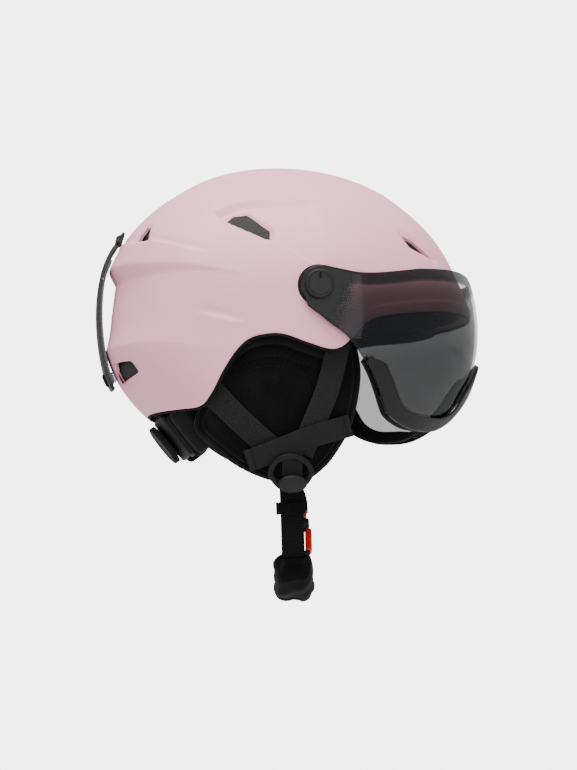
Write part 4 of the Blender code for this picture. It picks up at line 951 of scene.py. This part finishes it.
def pad_face(y, z, d):
    """Stand-off of the ear pad's outer face at a distance from its outline."""
    rounding = rounded_rise(d / 0.0050)
    face = -0.0048 + 0.0050 * rounding
    for at, deep, wide in ((0.0052, 0.0011, 0.0008), (0.0100, 0.0007, 0.0008)):
        face -= deep * np.exp(-(((d - at) / wide) ** 2))
    below = shell_edge(y) - z
    for at, deep, wide in ((0.0078, 0.0011, 0.0009), (0.0155, 0.0008, 0.0008), (0.0228, 0.0008, 0.0008)):
        within = ramp(y, -0.044, -0.036) * (1 - ramp(y, 0.034, 0.042))
        face -= deep * np.exp(-(((below - at) / wide) ** 2)) * within
    face += 0.0004 * np.exp(-(((below - 0.0116) / 0.0024) ** 2))
    face -= 0.0012 * np.exp(-(((y - 0.004) / 0.020) ** 2 + ((z + 0.030) / 0.016) ** 2) ** 2)
    return face


def build_ear_pad(label, side):
    cols, rings = 220, 44
    outline = spline(EAR_PAD, cols, closed=True)
    centre = np.array([0.008, -0.024])
    share = (np.arange(1, rings + 1) / rings) ** 0.8
    yz = centre + (outline - centre)[None] * share[:, None, None]
    d, _ = outline_distance(outline, yz[..., 0], yz[..., 1])
    d = np.maximum(-d, 0)
    d[-1] = 0
    front = pad_face(yz[..., 0], yz[..., 1], d)
    rounding = rounded_rise(d / 0.0050)
    back = -0.0052 - (PAD_DEPTH - 0.0052) * rounding
    outer = on_side(yz[..., 0], yz[..., 1], front, side)
    inner = on_side(yz[..., 0], yz[..., 1], back, side)
    verts = np.concatenate([outer.reshape(-1, 3), [on_side(*centre, -0.001, side)],
                            inner.reshape(-1, 3), [on_side(*centre, -PAD_DEPTH, side)]])
    half = len(verts) // 2
    top = [tuple(f) for f in grid_faces(rings, cols, closed=True).tolist()]
    top += [(half - 1, j, (j + 1) % cols) for j in range(cols)]
    last = (rings - 1) * cols
    faces = top + [tuple(v + half for v in reversed(f)) for f in top]
    faces += [(last + (j + 1) % cols, last + j, last + j + half, last + (j + 1) % cols + half)
              for j in range(cols)]
    pad = fix_normals(make_object(f"ear_cushion_{label}", verts, faces, MATS["fleece"], smooth=60))
    finish_piece(pad, "helmet", "fleece", f"ear_pad_{label}")

    for name, inset, out, radius in (("outer", 0.0016, -0.0030, 0.0016), ("inner", 0.0064, 0.0000, 0.0009)):
        line = spline(EAR_PAD, 240, closed=True)
        ahead = unit(np.roll(line, -1, 0) - np.roll(line, 1, 0))
        square = np.stack([-ahead[:, 1], ahead[:, 0]], 1)
        if ((centre - line) * square).sum() < 0:
            square = -square
        line = line + square * inset
        turns = np.arange(12) * 2 * math.pi / 12
        yz = line[:, None] + square[:, None] * (radius * np.cos(turns))[:, None]
        pts = on_side(yz[..., 0], yz[..., 1], out + radius * np.sin(turns), side)
        piping = tube(f"pad_piping_{name}_{label}", pts, MATS["binding"], closed=True)
        finish_piece(piping, "helmet", "fleece")

    y = np.linspace(-0.0475, 0.0600, 150)
    height = shell_edge(y)
    turns = np.arange(20) * 2 * math.pi / 20
    pinch = np.clip(np.minimum(y + 0.0475, 0.0600 - y) / 0.010, 0, 1) ** 0.5
    zz = height[:, None] - 0.0030 + 0.0042 * np.cos(turns) * (0.35 + 0.65 * pinch[:, None])
    out = -0.0012 + 0.0030 * np.sin(turns) * (0.35 + 0.65 * pinch[:, None])
    pts = on_side(np.broadcast_to(y[:, None], zz.shape), zz, out, side)
    roll = tube(f"pad_roll_{label}", pts, MATS["binding"], smooth=60)
    finish_piece(roll, "helmet", "fleece")

    rows = []
    for drop in (0.0155, 0.0228):
        yy = np.linspace(-0.036, 0.036, 13)
        rows.append((np.stack([yy, shell_edge(yy) - drop], 1), -0.0004))
    thread = stitches(f"pad_stitches_{label}", rows, side, MATS["thread"])
    finish_piece(thread, "helmet", "fleece")


REAR_STRAP = [(0.068, -0.004), (0.0615, -0.0135), (0.042, -0.034), (0.023, -0.051), (0.012, -0.060)]
FRONT_STRAP = [(-0.034, 0.029), (-0.030, 0.010), (-0.024, -0.014), (-0.0145, -0.038), (-0.006, -0.060)]
DIVIDER_STRAP = [(0.0010, -0.0585), (0.0008, -0.0700), (0.0008, -0.0815)]
EAR_BAND = [(0.0345, -0.0655), (0.013, -0.0575), (-0.012, -0.0475), (-0.0425, -0.0385)]


def pad_normal(y, z, side):
    return unit(on_side(y, z, 0.001, side) - on_side(y, z, 0.0, side))


def build_straps(label, side):
    for name, line, out in (("rear", REAR_STRAP, 0.0025), ("front", FRONT_STRAP, 0.0040)):
        strap = side_strap(f"{name}_webbing_{label}", line, WEBBING, out, WEBBING_THICK, side,
                           MATS["webbing"])
        finish_piece(strap, "helmet", "webbing", f"{name}_strap_{label}")
    band = side_strap(f"ear_band_cloth_{label}", EAR_BAND, 0.0160, 0.0053, 0.0010, side, MATS["elastic"])
    finish_piece(band, "helmet", "elastic", f"ear_band_{label}")
    rows = []
    for y in (-0.0385, 0.0300):
        z = np.interp(y, [p[0] for p in EAR_BAND[::-1]], [p[1] for p in EAR_BAND[::-1]])
        rows.append(([(y - 0.0022, z - 0.0068), (y, z), (y + 0.0022, z + 0.0068)], 0.0055))
    thread = stitches(f"band_stitches_{label}", rows, side, MATS["thread"], pitch=0.0016,
                      size=(0.0011, 0.0008, 0.0005))
    finish_piece(thread, "helmet", "elastic")

    # divider loop
    a = np.arange(96) * 2 * math.pi / 96
    taper = np.where(np.sin(a) > 0, 1.0, 1.0 + 0.26 * np.sin(a))
    z = -0.0736 + 0.0126 * np.sin(a)
    middle = on_side(0.0022, z, 0.0073, side)
    middle[:, 1] += 0.0152 * taper * np.cos(a)
    normal = pad_normal(np.full(96, 0.0022), z, side)
    ahead = unit(np.roll(middle, -1, 0) - np.roll(middle, 1, 0))
    across = unit(np.cross(normal, ahead))
    loop = sweep(f"divider_loop_{label}", middle, across, normal, section(0.0042, 0.0030, 0.0012, 4),
                 MATS["nylon"], closed=True)
    finish_piece(loop, "helmet", "nylon", f"strap_divider_{label}")
    tail = side_strap(f"divider_webbing_{label}", DIVIDER_STRAP, 0.0150, 0.0056, WEBBING_THICK, side,
                      MATS["webbing"], count=30)
    finish_piece(tail, "helmet", "webbing")
    face = on_side(0.0010, -0.0800, 0.0102, side)
    normal = pad_normal(0.0010, -0.0800, side)
    profile = [(0.0063, 0), (0.0066, 0.0005), (0.0066, 0.0016), (0.0062, 0.0024), (0.0055, 0.0028),
               (0.0046, 0.0028), (0.0042, 0.0025), (0.0020, 0.0025)]
    place = axis_place(face, normal, up=(0, 1, 0))
    cap = lathe(f"divider_lock_{label}", profile, place, MATS["knob"], stretch=1.62)
    finish_piece(cap, "helmet", "nylon", f"divider_cap_{label}")
    face = on_side(-0.033, 0.0235, 0.0022, side)
    profile = [(0.0045, 0), (0.0046, 0.0002), (0.0042, 0.0006), (0.0030, 0.0009), (0.0012, 0.0010)]
    place = axis_place(face, pad_normal(-0.033, 0.0235, side))
    rivet = lathe(f"rivet_{label}", profile, place, MATS["steel"], segments=40)
    finish_piece(rivet, "helmet", "steel", f"strap_rivet_{label}")


# ---------------------------------------------------------------- visor
def lens_points(angle, z, out=0.0):
    """Points on the lens; angle 0 is at the right pivot, 90 at the middle, 180 at the left one."""
    angle, z, out = together(angle, z, out)
    bulge = LENS_PROFILE_R - np.sqrt(LENS_PROFILE_R**2 - (z - LENS_MID_Z) ** 2)
    length = HUB_Y - (LENS_FRONT_Y + bulge) + out
    width = LENS_HALF_WIDTH - 2.9 * np.maximum(0.0, 0.045 - z) ** 2 + out
    a = np.radians(angle)
    return np.stack([-width * np.cos(a), HUB_Y - length * np.sin(a), z], -1)


def lens_span(angle):
    """Bottom and top of the lens, with the round end at the pivot; angle is from 0 to 90 or below 0."""
    low = curve([(0, 0.0400), (4, 0.0325), (9, 0.024), (15.5, 0.0057), (24, -0.021), (28.5, -0.0305),
                 (37, -0.0370), (46, -0.0395), (59, -0.0385), (68, -0.0315), (75, -0.0200),
                 (83, -0.0030), (90, 0.0030)], angle)
    high = curve([(0, 0.0773), (6, 0.0745), (13, 0.0722), (20, 0.0730), (30, 0.0765), (37, 0.079),
                  (60, 0.0825), (90, 0.0800)], angle)
    y = lens_points(angle, HUB_Z)[..., 1] - HUB_Y
    half = np.sqrt(np.maximum(LENS_END_R**2 - y**2, 0.0006**2))
    blend = np.where(y > -0.004, ramp(angle, 0.0, 1.6), 1.0)
    corner = 1 - bevel(y, 0.0085, 0.0100)
    foot = HUB_Z - half
    foot = foot * (1 - corner) + np.minimum(foot, 0.0400 + 0.72 * y) * corner
    return low * blend + foot * (1 - blend), high * blend + (HUB_Z + half) * (1 - blend)


def trim_lean(near, angle, rise):
    lean = (rise * (1 - ramp(near, 22, 40)) * 0.75
            - rise * ramp(near, 66, 74) * 0.55 * (1 - ramp(near, 84, 90)))
    base = lens_points(angle, 0.0)
    ahead = unit(lens_points(angle + np.where(angle < 90, 1, -1), 0.0) - base)
    return ahead * lean[..., None]


def build_visor():
    length = HUB_Y - LENS_FRONT_Y
    round_end = -np.degrees(np.arcsin(LENS_END_R * np.cos(np.radians(np.linspace(4, 86, 18))) / length))
    near = np.concatenate([round_end, np.linspace(0, 89.5, 200)])
    angle = np.concatenate([near, [90], 180 - near[::-1]])
    close = np.concatenate([near, [90], near[::-1]])
    low, high = lens_span(close)
    share = np.linspace(0, 1, 41)[:, None]
    z = high + (low - high) * share
    aa = np.broadcast_to(angle, z.shape)
    rim = np.minimum(np.minimum(share, 1 - share) * (high - low), 0.0006) / 0.0006
    soft = 0.0005 * (1 - rim) ** 2
    outer, inner = lens_points(aa, z, -soft), lens_points(aa, z, -LENS_THICK + soft)
    print_edge = -0.0255 - 0.37 * (z - 0.028)
    uv = np.stack([print_edge - outer[..., 1], high - z], -1).reshape(-1, 2)
    inwards = (inner - outer).reshape(-1, 3)
    verts, faces = thicken(outer.reshape(-1, 3), grid_faces(*z.shape).tolist(), inwards)
    uv = np.concatenate([uv, uv])
    lens = fix_normals(make_object("visor_screen", verts, faces, MATS["lens"], uv=uv, smooth=50))
    finish_piece(lens, "visor", "lens", "visor_lens")

    near = np.linspace(15, 89.5, 170)
    angle = np.concatenate([near, [90], 180 - near[::-1]])
    close = np.concatenate([near, [90], near[::-1]])
    low, _ = lens_span(close)
    for name, node, slot, mat, out, thick, width, drop in (
            ("visor_lower_trim", "visor_trim", "nylon", "trim", 0.0034, 0.0021, 0.0105, 0.0012),
            ("visor_foam_seal", "visor_seal", "seal", "seal", -0.0036, 0.0060, 0.0098, 0.0004)):
        ring = section(width, thick, thick * 0.42, 4)
        rise = ring[:, 0] + width / 2
        slim = 1 - 0.55 * (1 - ramp(close, 15, 19))
        if slot == "seal":
            slim = slim * (1 - 0.60 * ramp(close, 52, 68))
        else:
            slim = slim * (1 + 0.55 * ramp(close, 62, 78))
        lift = rise[None] * slim[:, None]
        zz = low[:, None] - drop + lift
        pts = lens_points(np.broadcast_to(angle[:, None], zz.shape), zz, out - thick / 2 + ring[:, 1])
        pts = pts + trim_lean(np.broadcast_to(close[:, None], zz.shape), angle[:, None] + 0 * zz, lift)
        piece = tube(name, pts, MATS[mat], smooth=50)
        finish_piece(piece, "visor", slot, node)

    for label, side in SIDES:
        def at(x, side=side):
            return axis_place((side * x, HUB_Y, HUB_Z), (side, 0, 0))
        profile = [(0.0092, 0), (0.0092, 0.0007), (0.0088, 0.0010), (0.0043, 0.0010)]
        hub = lathe(f"hub_disc_{label}", profile, at(0.1073), MATS["nylon"])
        finish_piece(hub, "visor", "nylon", f"visor_hub_{label}")
        profile = [(0.0155, -0.0030), (0.0155, 0.0002), (0.0151, 0.0007), (0.0143, 0.0008), (0.0120, 0.0006),
                   (0.0040, 0.0006), (0.0040, 0.0064)]
        base = lathe(f"pivot_plate_{label}", profile, at(0.1062), MATS["nylon"])
        finish_piece(base, "helmet", "nylon", f"pivot_base_{label}")
        profile = [(0.0108, 0), (0.0108, 0.0030), (0.0105, 0.0036), (0.0099, 0.0040), (0.0091, 0.0040),
                   (0.0088, 0.0037), (0.0084, 0.0037), (0.0081, 0.0040), (0.0020, 0.00405)]
        knob = lathe(f"turn_knob_{label}", profile, at(0.1112), MATS["knob"], segments=96)
        place = axis_place((side * 0.1152, HUB_Y, HUB_Z + 0.0054), (1, 0, 0), up=(0, 1, 0))
        mark = block("cutter", (0.0056, 0.0013, 0.0030), place, MATS["knob"], edge=0.0003)
        cut(knob, mark)
        finish_piece(knob, f"knob_{label}", "knob", f"knob_{label}")


def cut(obj, cutter):
    """Cuts one solid out of another."""
    mod = obj.modifiers.new("cut", "BOOLEAN")
    mod.object, mod.operation, mod.solver = cutter, "DIFFERENCE", "EXACT"
    graph = bpy.context.evaluated_depsgraph_get()
    mesh = bpy.data.meshes.new_from_object(obj.evaluated_get(graph))
    obj.modifiers.clear()
    obj.data = mesh
    bpy.data.objects.remove(cutter, do_unlink=True)


# ---------------------------------------------------------------- nape
def arc_points(radius, angle, rise):
    radius, a, rise = together(radius, np.radians(angle), rise)
    return (BAND_CENTRE + DIAL_AXIS * (radius * np.cos(a))[..., None]
            + np.array([1, 0, 0]) * (radius * np.sin(a))[..., None] + BAND_AXIS * rise[..., None])


def arc_bar(name, radius, thick, angles, rises, edge, mat, count=80, swell=None):
    """A curved bar round the nape with rounded edges; radius is its outer one."""
    width = rises[1] - rises[0]
    ring = section(width, thick, edge, 6)
    angle = np.linspace(*angles, count)
    end = np.minimum(angle - angles[0], angles[1] - angle) * math.pi / 180 * radius
    slim = rounded_rise(end / edge)
    height = ring[:, 1][None] * (0.15 + 0.85 * slim[:, None])
    if swell is not None:
        height = height + swell(angle[:, None], ring[None, :, 0])
    rise = (rises[0] + rises[1]) / 2 + ring[:, 0][None] * (1 - 0.12 * (1 - slim[:, None]))
    pts = arc_points(radius - thick / 2 + height, angle[:, None] + 0 * height, rise)
    return tube(name, pts, mat, smooth=50)


def build_nape():
    cradle = arc_bar("nape_cradle", 0.0785, 0.0024, (-40, 40), (-0.0205, 0.0130), 0.0010, MATS["nylon"])
    finish_piece(cradle, "helmet", "nylon", "neck_cradle")

    def folds(angle, rise):
        return (-0.0009 * np.exp(-((np.mod(angle + 12.5, 25) - 12.5) / 1.5) ** 2)
                + 0.0004 * np.cos(rise * 2 * math.pi / 0.022))
    pad = arc_bar("nape_cushion", 0.0756, 0.0080, (-38, 38), (-0.0225, 0.0125), 0.0036, MATS["pile"], 140,
                  folds)
    finish_piece(pad, "helmet", "fleece", "neck_pad")
    for label, ends in (("right", (-41, -19.6)), ("left", (19.6, 41))):
        wrap = arc_bar(f"nape_wrap_{label}", 0.0866, 0.0120, ends, (-0.0236, 0.0150), 0.0052, MATS["pile"],
                       90, folds)
        finish_piece(wrap, "helmet", "fleece")
    curtain = arc_bar("nape_curtain", 0.0800, 0.0050, (-46, 46), (0.0090, 0.0330), 0.0024, MATS["pile"], 120,
                      folds)
    finish_piece(curtain, "helmet", "fleece")
    cover = arc_bar("dial_housing", 0.0858, 0.0060, (-19, 19), (-0.0190, 0.0185), 0.0020, MATS["nylon"])
    finish_piece(cover, "helmet", "nylon", "fit_housing")
    ribs = 44
    profile = [(0.0150, 0), (0.0166, 0.0003), (0.0168, 0.0012), (0.0168, 0.0038), (0.0164, 0.0046),
               (0.0152, 0.0050), (0.0128, 0.0050), (0.0122, 0.0046), (0.0040, 0.0044)]

    def knurl(i, angle):
        return 0.022 * (np.sin(angle * ribs) > 0.1) - 0.022 if 1 <= i <= 4 else 0 * angle
    place = axis_place(BAND_CENTRE + DIAL_AXIS * 0.0872, DIAL_AXIS)
    dial = lathe("turning_dial", profile, place, MATS["dial"], segments=ribs * 8, wobble=knurl)
    finish_piece(dial, "dial", "dial", "fit_dial")


# ---------------------------------------------------------------- chin loop
CHIN_RIGHT = [(-0.0605, -0.0013, -0.0846), (-0.0578, -0.0020, -0.0930), (-0.0538, -0.0030, -0.1080),
              (-0.0465, -0.0045, -0.1275), (-0.0330, -0.0065, -0.1435), (-0.0175, -0.0082, -0.1540),
              (0.0, -0.0105, -0.1578), (0.0160, -0.0138, -0.1550), (0.0282, -0.0164, -0.1475),
              (0.0352, -0.0182, -0.1372), (0.0378, -0.0190, -0.1318)]
CHIN_LEFT = [(0.0604, -0.0155, -0.0738), (0.0578, -0.0170, -0.0785), (0.0565, -0.0186, -0.0830),
             (0.0567, -0.0198, -0.0870), (0.0574, -0.0204, -0.0905), (0.0574, -0.0206, -0.0972)]
BUCKLE_TOP, BUCKLE_FOOT = np.array([0.0585, -0.0206, -0.0942]), np.array([0.0335, -0.0188, -0.1392])

TAB_SIZE = (0.0048, 0.0205, 0.0070)
TAB_WINDOW = (0.0098, 0.0225, 0.0120)       # leaves the tabs room to be pressed in


def chin_webbing(name, points, count):
    line = resample(spline(points, 300), count)
    across, out = frames_along(line, (0, 1, 0))
    inward = unit(np.array([0, 0, -0.05]) - line)
    out = out * np.where((out * inward).sum(1, keepdims=True) > 0, -1, 1)
    centre = line - out * WEBBING_THICK / 2
    strap = sweep(name, centre, across, out, section(WEBBING, WEBBING_THICK, WEBBING_EDGE, 3),
                  MATS["chin_webbing"])
    return strap, line, across, out


def build_chin():
    strap, line, across, out = chin_webbing("chin_webbing_right", CHIN_RIGHT, 180)
    finish_piece(strap, "chin_loop", "webbing", "chin_strap_right")
    left, _, _, _ = chin_webbing("chin_webbing_left", CHIN_LEFT, 30)
    finish_piece(left, "chin_loop", "webbing", "chin_strap_left")

    part = resample(line[int(0.358 * len(line)):int(0.832 * len(line))], 120)
    across, out = frames_along(part, (0, 1, 0))
    out = out * np.where(out[:, 2:] > 0, -1, 1)
    turns = np.arange(48) * 2 * math.pi / 48
    run = np.linspace(0, 1, 120)
    full = rounded_rise(np.minimum(run, 1 - run) / 0.10)
    c, s = np.cos(turns), np.sin(turns)
    flat = np.sign(c) * np.abs(c) ** 0.62, np.sign(s) * np.abs(s) ** 0.72
    fold = 1 - 0.05 * np.exp(-((run - 0.56) / 0.026) ** 2)
    crease = 1 - 0.12 * np.exp(-((run - 0.56) / 0.020) ** 2)
    wide = 0.0142 * (0.72 + 0.28 * full) * fold
    deep = 0.0104 * (0.25 + 0.75 * full) * crease
    seam = 1 + 0.05 * np.exp(-(np.abs(c) - 1) ** 2 / 0.001)
    lumps = 0.0007 * np.sin(run[:, None] * 19 + 3 * turns) * np.sin(run[:, None] * 8.3 + 1.0) * full[:, None]
    notch = 0.0016 * np.exp(-(((turns - 1.62) / 0.13) ** 2)) * full[:, None]
    mouth = 0.0122 * np.exp(-((turns - 0.5 * math.pi) / 0.62) ** 2) * (1 - ramp(run, 0.07, 0.20))[:, None]
    pts = (part[:, None] + across[:, None] * ((wide[:, None] + lumps) * flat[0] * seam)[..., None]
           + out[:, None] * ((deep[:, None] + lumps - notch - mouth) * flat[1])[..., None])
    pad = tube("chin_cushion", pts, MATS["fleece"], smooth=60)
    finish_piece(pad, "chin_loop", "fleece", "chin_pad", "chin_pad_cover")

    down = unit(BUCKLE_FOOT - BUCKLE_TOP)
    over = unit(np.array([0, -1, 0]) + down * down[1])
    away = unit(np.cross(over, down))
    turn = np.eye(4)
    turn[:3, 0], turn[:3, 1], turn[:3, 2] = over, down, away

    def spot(a, b, c):
        place = turn.copy()
        place[:3, 3] = BUCKLE_TOP + turn[:3, :3] @ np.array([a, b, c])
        return place
    body = block("buckle_shell", (0.0185, 0.0345, 0.0096), spot(0, 0.0268, 0), MATS["nylon"], edge=0.0016)
    cut(body, block("cutter", (0.0150, 0.0270, 0.0048), spot(0, 0.0215, 0), MATS["nylon"], edge=0.0004))
    for a in (-1, 1):
        cut(body, block("cutter", TAB_WINDOW, spot(a * 0.0087, 0.0290, 0), MATS["nylon"], edge=0.0005))
    finish_piece(body, "chin_loop", "nylon", "buckle_body")
    blade = block("blade", (0.0060, 0.0270, 0.0040), spot(0, 0.0190, 0), MATS["red"], edge=0.0005)
    tongue = joined("buckle_tongue_red", [
        block("head", (0.0150, 0.0084, 0.0080), spot(0, 0.0048, 0), MATS["red"], edge=0.0014), blade])
    finish_piece(tongue, "chin_loop", "red", "buckle_tongue")
    for label, a in (("front", 1), ("rear", -1)):
        tab = block(f"squeeze_tab_{label}", TAB_SIZE, spot(a * 0.0086, 0.0290, 0), MATS["red"], edge=0.0010)
        finish_piece(tab, f"tab_{label}", "red", f"release_tab_{label}")


# ---------------------------------------------------------------- goggle clip
CLIP_LINE = [(0.1290, 0.1080), (0.1352, 0.0975), (0.1405, 0.0830), (0.1430, 0.0640), (0.1430, 0.0440),
             (0.1408, 0.0240), (0.1368, 0.0060), (0.1325, -0.0040), (0.1303, -0.0070)]


def build_clip():
    line = resample(spline([(0, y, z) for y, z in CLIP_LINE], 300), 120)
    across, out = frames_along(line, (1, 0, 0))
    out = out * np.where(out[:, 1:2] < 0, -1, 1)
    run = np.linspace(0, 1, len(line))
    end = np.minimum(run, 1 - run) * length_of(line)
    slim = rounded_rise(end / 0.009)
    base = section(1.0, 0.0027, 0.0009, 4)
    wide = np.repeat(base[None], len(line), axis=0)
    wide[:, :, 0] *= (CLIP_WIDTH * (0.55 + 0.45 * slim))[:, None]
    outer = sweep("clip_strap", line - out * 0.00135, across, out, wide, MATS["clip"])
    finish_piece(outer, "goggle_clip", "clip", "goggle_clip")
    base = section(1.0, 0.0018, 0.0006, 3)
    inner_line = slice(14, len(line) - 5)
    wide = np.repeat(base[None], len(line) - 19, axis=0)
    wide[:, :, 0] *= ((CLIP_WIDTH - 0.0024) * (0.55 + 0.45 * slim[inner_line]))[:, None]
    line, across, out = (v[inner_line] for v in (line - out * 0.0037, across, out))
    # lining whose colour carries the painted pink reflection of the shell
    lining = sweep("clip_lining", line, across, out, wide, MATS["clip_inner_pink_reflection"])
    finish_piece(lining, "goggle_clip", "clip")
    root = block("clip_root", (0.0250, 0.0052, 0.0024),
                 axis_place((0, 0.1243, 0.1134), (0, 0.76, 0.65)), MATS["clip"], edge=0.0008)
    barrel = lathe("barrel", [(0.0026, 0), (0.0029, 0.0003), (0.0029, 0.0237), (0.0026, 0.0240)],
                   axis_place((-0.012, 0.1262, 0.1105), (1, 0, 0)), MATS["clip"], segments=28)
    finish_piece(joined("clip_root", [root, barrel]), "helmet", "nylon", "clip_anchor")
    face = np.array([0, 0.1350, 0.0015])
    normal = unit(np.array([0, 0.912, -0.410]))
    profile = [(0.0052, 0), (0.0052, 0.0008), (0.0048, 0.0014), (0.0040, 0.0017),
               (0.0032, 0.0014), (0.0010, 0.0014)]
    button = lathe("snap_button", profile, axis_place(face + normal * 0.0002, normal), MATS["rubber"])
    finish_piece(button, "goggle_clip", "steel", "clip_button")


# ---------------------------------------------------------------- looks of the frame's own pieces
NODE_LOOKS = {"vent_net": "net", "neck": "nylon", "cradle": "nylon", "band_guide": "nylon",
              "fit_band": "nylon", "dial_pinion": "nylon", "clip_anchor": "nylon", "clip_stud": "steel",
              "strap_keeper": "keeper"}


def dress_nodes():
    for node, obj in NODES.items():
        obj = bpy.data.objects[obj] if isinstance(obj, str) else obj
        for start, look in NODE_LOOKS.items():
            if node.startswith(start):
                for k in range(len(obj.data.materials)):
                    obj.data.materials[k] = MATS[look]


# ---------------------------------------------------------------- camera and light
BACKDROP = 5.0          # brightness of the plain studio backdrop as the camera sees it
AMBIENT = 0.98          # brightness of the same backdrop as a light


def build_stage():
    """Pale floor and backdrop of one even tone, lit softly all round."""
    floor_z = CAD_BOX[0][2] - 0.30
    bpy.ops.mesh.primitive_plane_add(size=40, location=(0, 0, floor_z))
    floor = bpy.context.object
    floor.name = "floor"
    s = Shader("pale_floor", (0.80, 0.80, 0.80), 0.9)
    path = s.add("ShaderNodeLightPath")
    glow = s.add("ShaderNodeEmission", Color=(1, 1, 1, 1), Strength=BACKDROP)
    mix = s.add("ShaderNodeMixShader")
    s.link(path.outputs["Is Camera Ray"], mix.inputs[0])
    s.link(s.main.outputs[0], mix.inputs[1])
    s.link(glow.outputs[0], mix.inputs[2])
    s.link(mix.outputs[0], s.tree.nodes["Material Output"].inputs["Surface"])
    floor.data.materials.append(s.mat)

    world = bpy.data.worlds.new("studio")
    bpy.context.scene.world = world
    world.use_nodes = True
    tree = world.node_tree
    soft = tree.nodes["Background"]
    soft.inputs[0].default_value = (1, 1, 1, 1)
    soft.inputs[1].default_value = AMBIENT
    seen = tree.nodes.new("ShaderNodeBackground")
    seen.inputs[0].default_value = (1, 1, 1, 1)
    seen.inputs[1].default_value = BACKDROP
    path = tree.nodes.new("ShaderNodeLightPath")
    mix = tree.nodes.new("ShaderNodeMixShader")
    tree.links.new(path.outputs["Is Camera Ray"], mix.inputs[0])
    tree.links.new(soft.outputs[0], mix.inputs[1])
    tree.links.new(seen.outputs[0], mix.inputs[2])
    tree.links.new(mix.outputs[0], tree.nodes["World Output"].inputs["Surface"])
    area_light("key_above", (-0.55, 0.25, 1.45), (0, 0, 0.03), (1.1, 1.1), 58)
    area_light("fill_side", (-1.9, -0.35, 0.30), (0, 0, 0.0), (1.4, 1.0), 15)


VIEW_AZIMUTH, VIEW_ELEVATION, VIEW_DISTANCE = -97.0, -6.5, 1.668
VIEW_TARGET = Vector((0, -0.0067, 0))


def build_camera():
    a, e = math.radians(VIEW_AZIMUTH), math.radians(VIEW_ELEVATION)
    back = Vector((math.sin(a) * math.cos(e), -math.cos(a) * math.cos(e), math.sin(e)))
    data = bpy.data.cameras.new("camera")
    data.lens = 100
    data.sensor_width = 36
    camera = bpy.data.objects.new("camera", data)
    bpy.context.scene.collection.objects.link(camera)
    camera.location = VIEW_TARGET + back * VIEW_DISTANCE
    camera.rotation_mode = "QUATERNION"
    camera.rotation_quaternion = (-back).to_track_quat("-Z", "Y")
    bpy.context.scene.camera = camera


def area_light(name, location, target, size, power):
    data = bpy.data.lights.new(name, "AREA")
    data.shape = "RECTANGLE"
    data.size, data.size_y = size
    data.energy = power
    lamp = bpy.data.objects.new(name, data)
    bpy.context.scene.collection.objects.link(lamp)
    lamp.location = location
    lamp.rotation_mode = "QUATERNION"
    lamp.rotation_quaternion = (Vector(target) - Vector(location)).to_track_quat("-Z", "Y")


build_camera()
build_stage()
build_shell()
build_liner()
build_edge_trim()
build_comfort_pads()
for LABEL, SIDE in SIDES:
    build_ear_pad(LABEL, SIDE)
    build_straps(LABEL, SIDE)
build_visor()
build_nape()
build_chin()
build_clip()
dress_nodes()
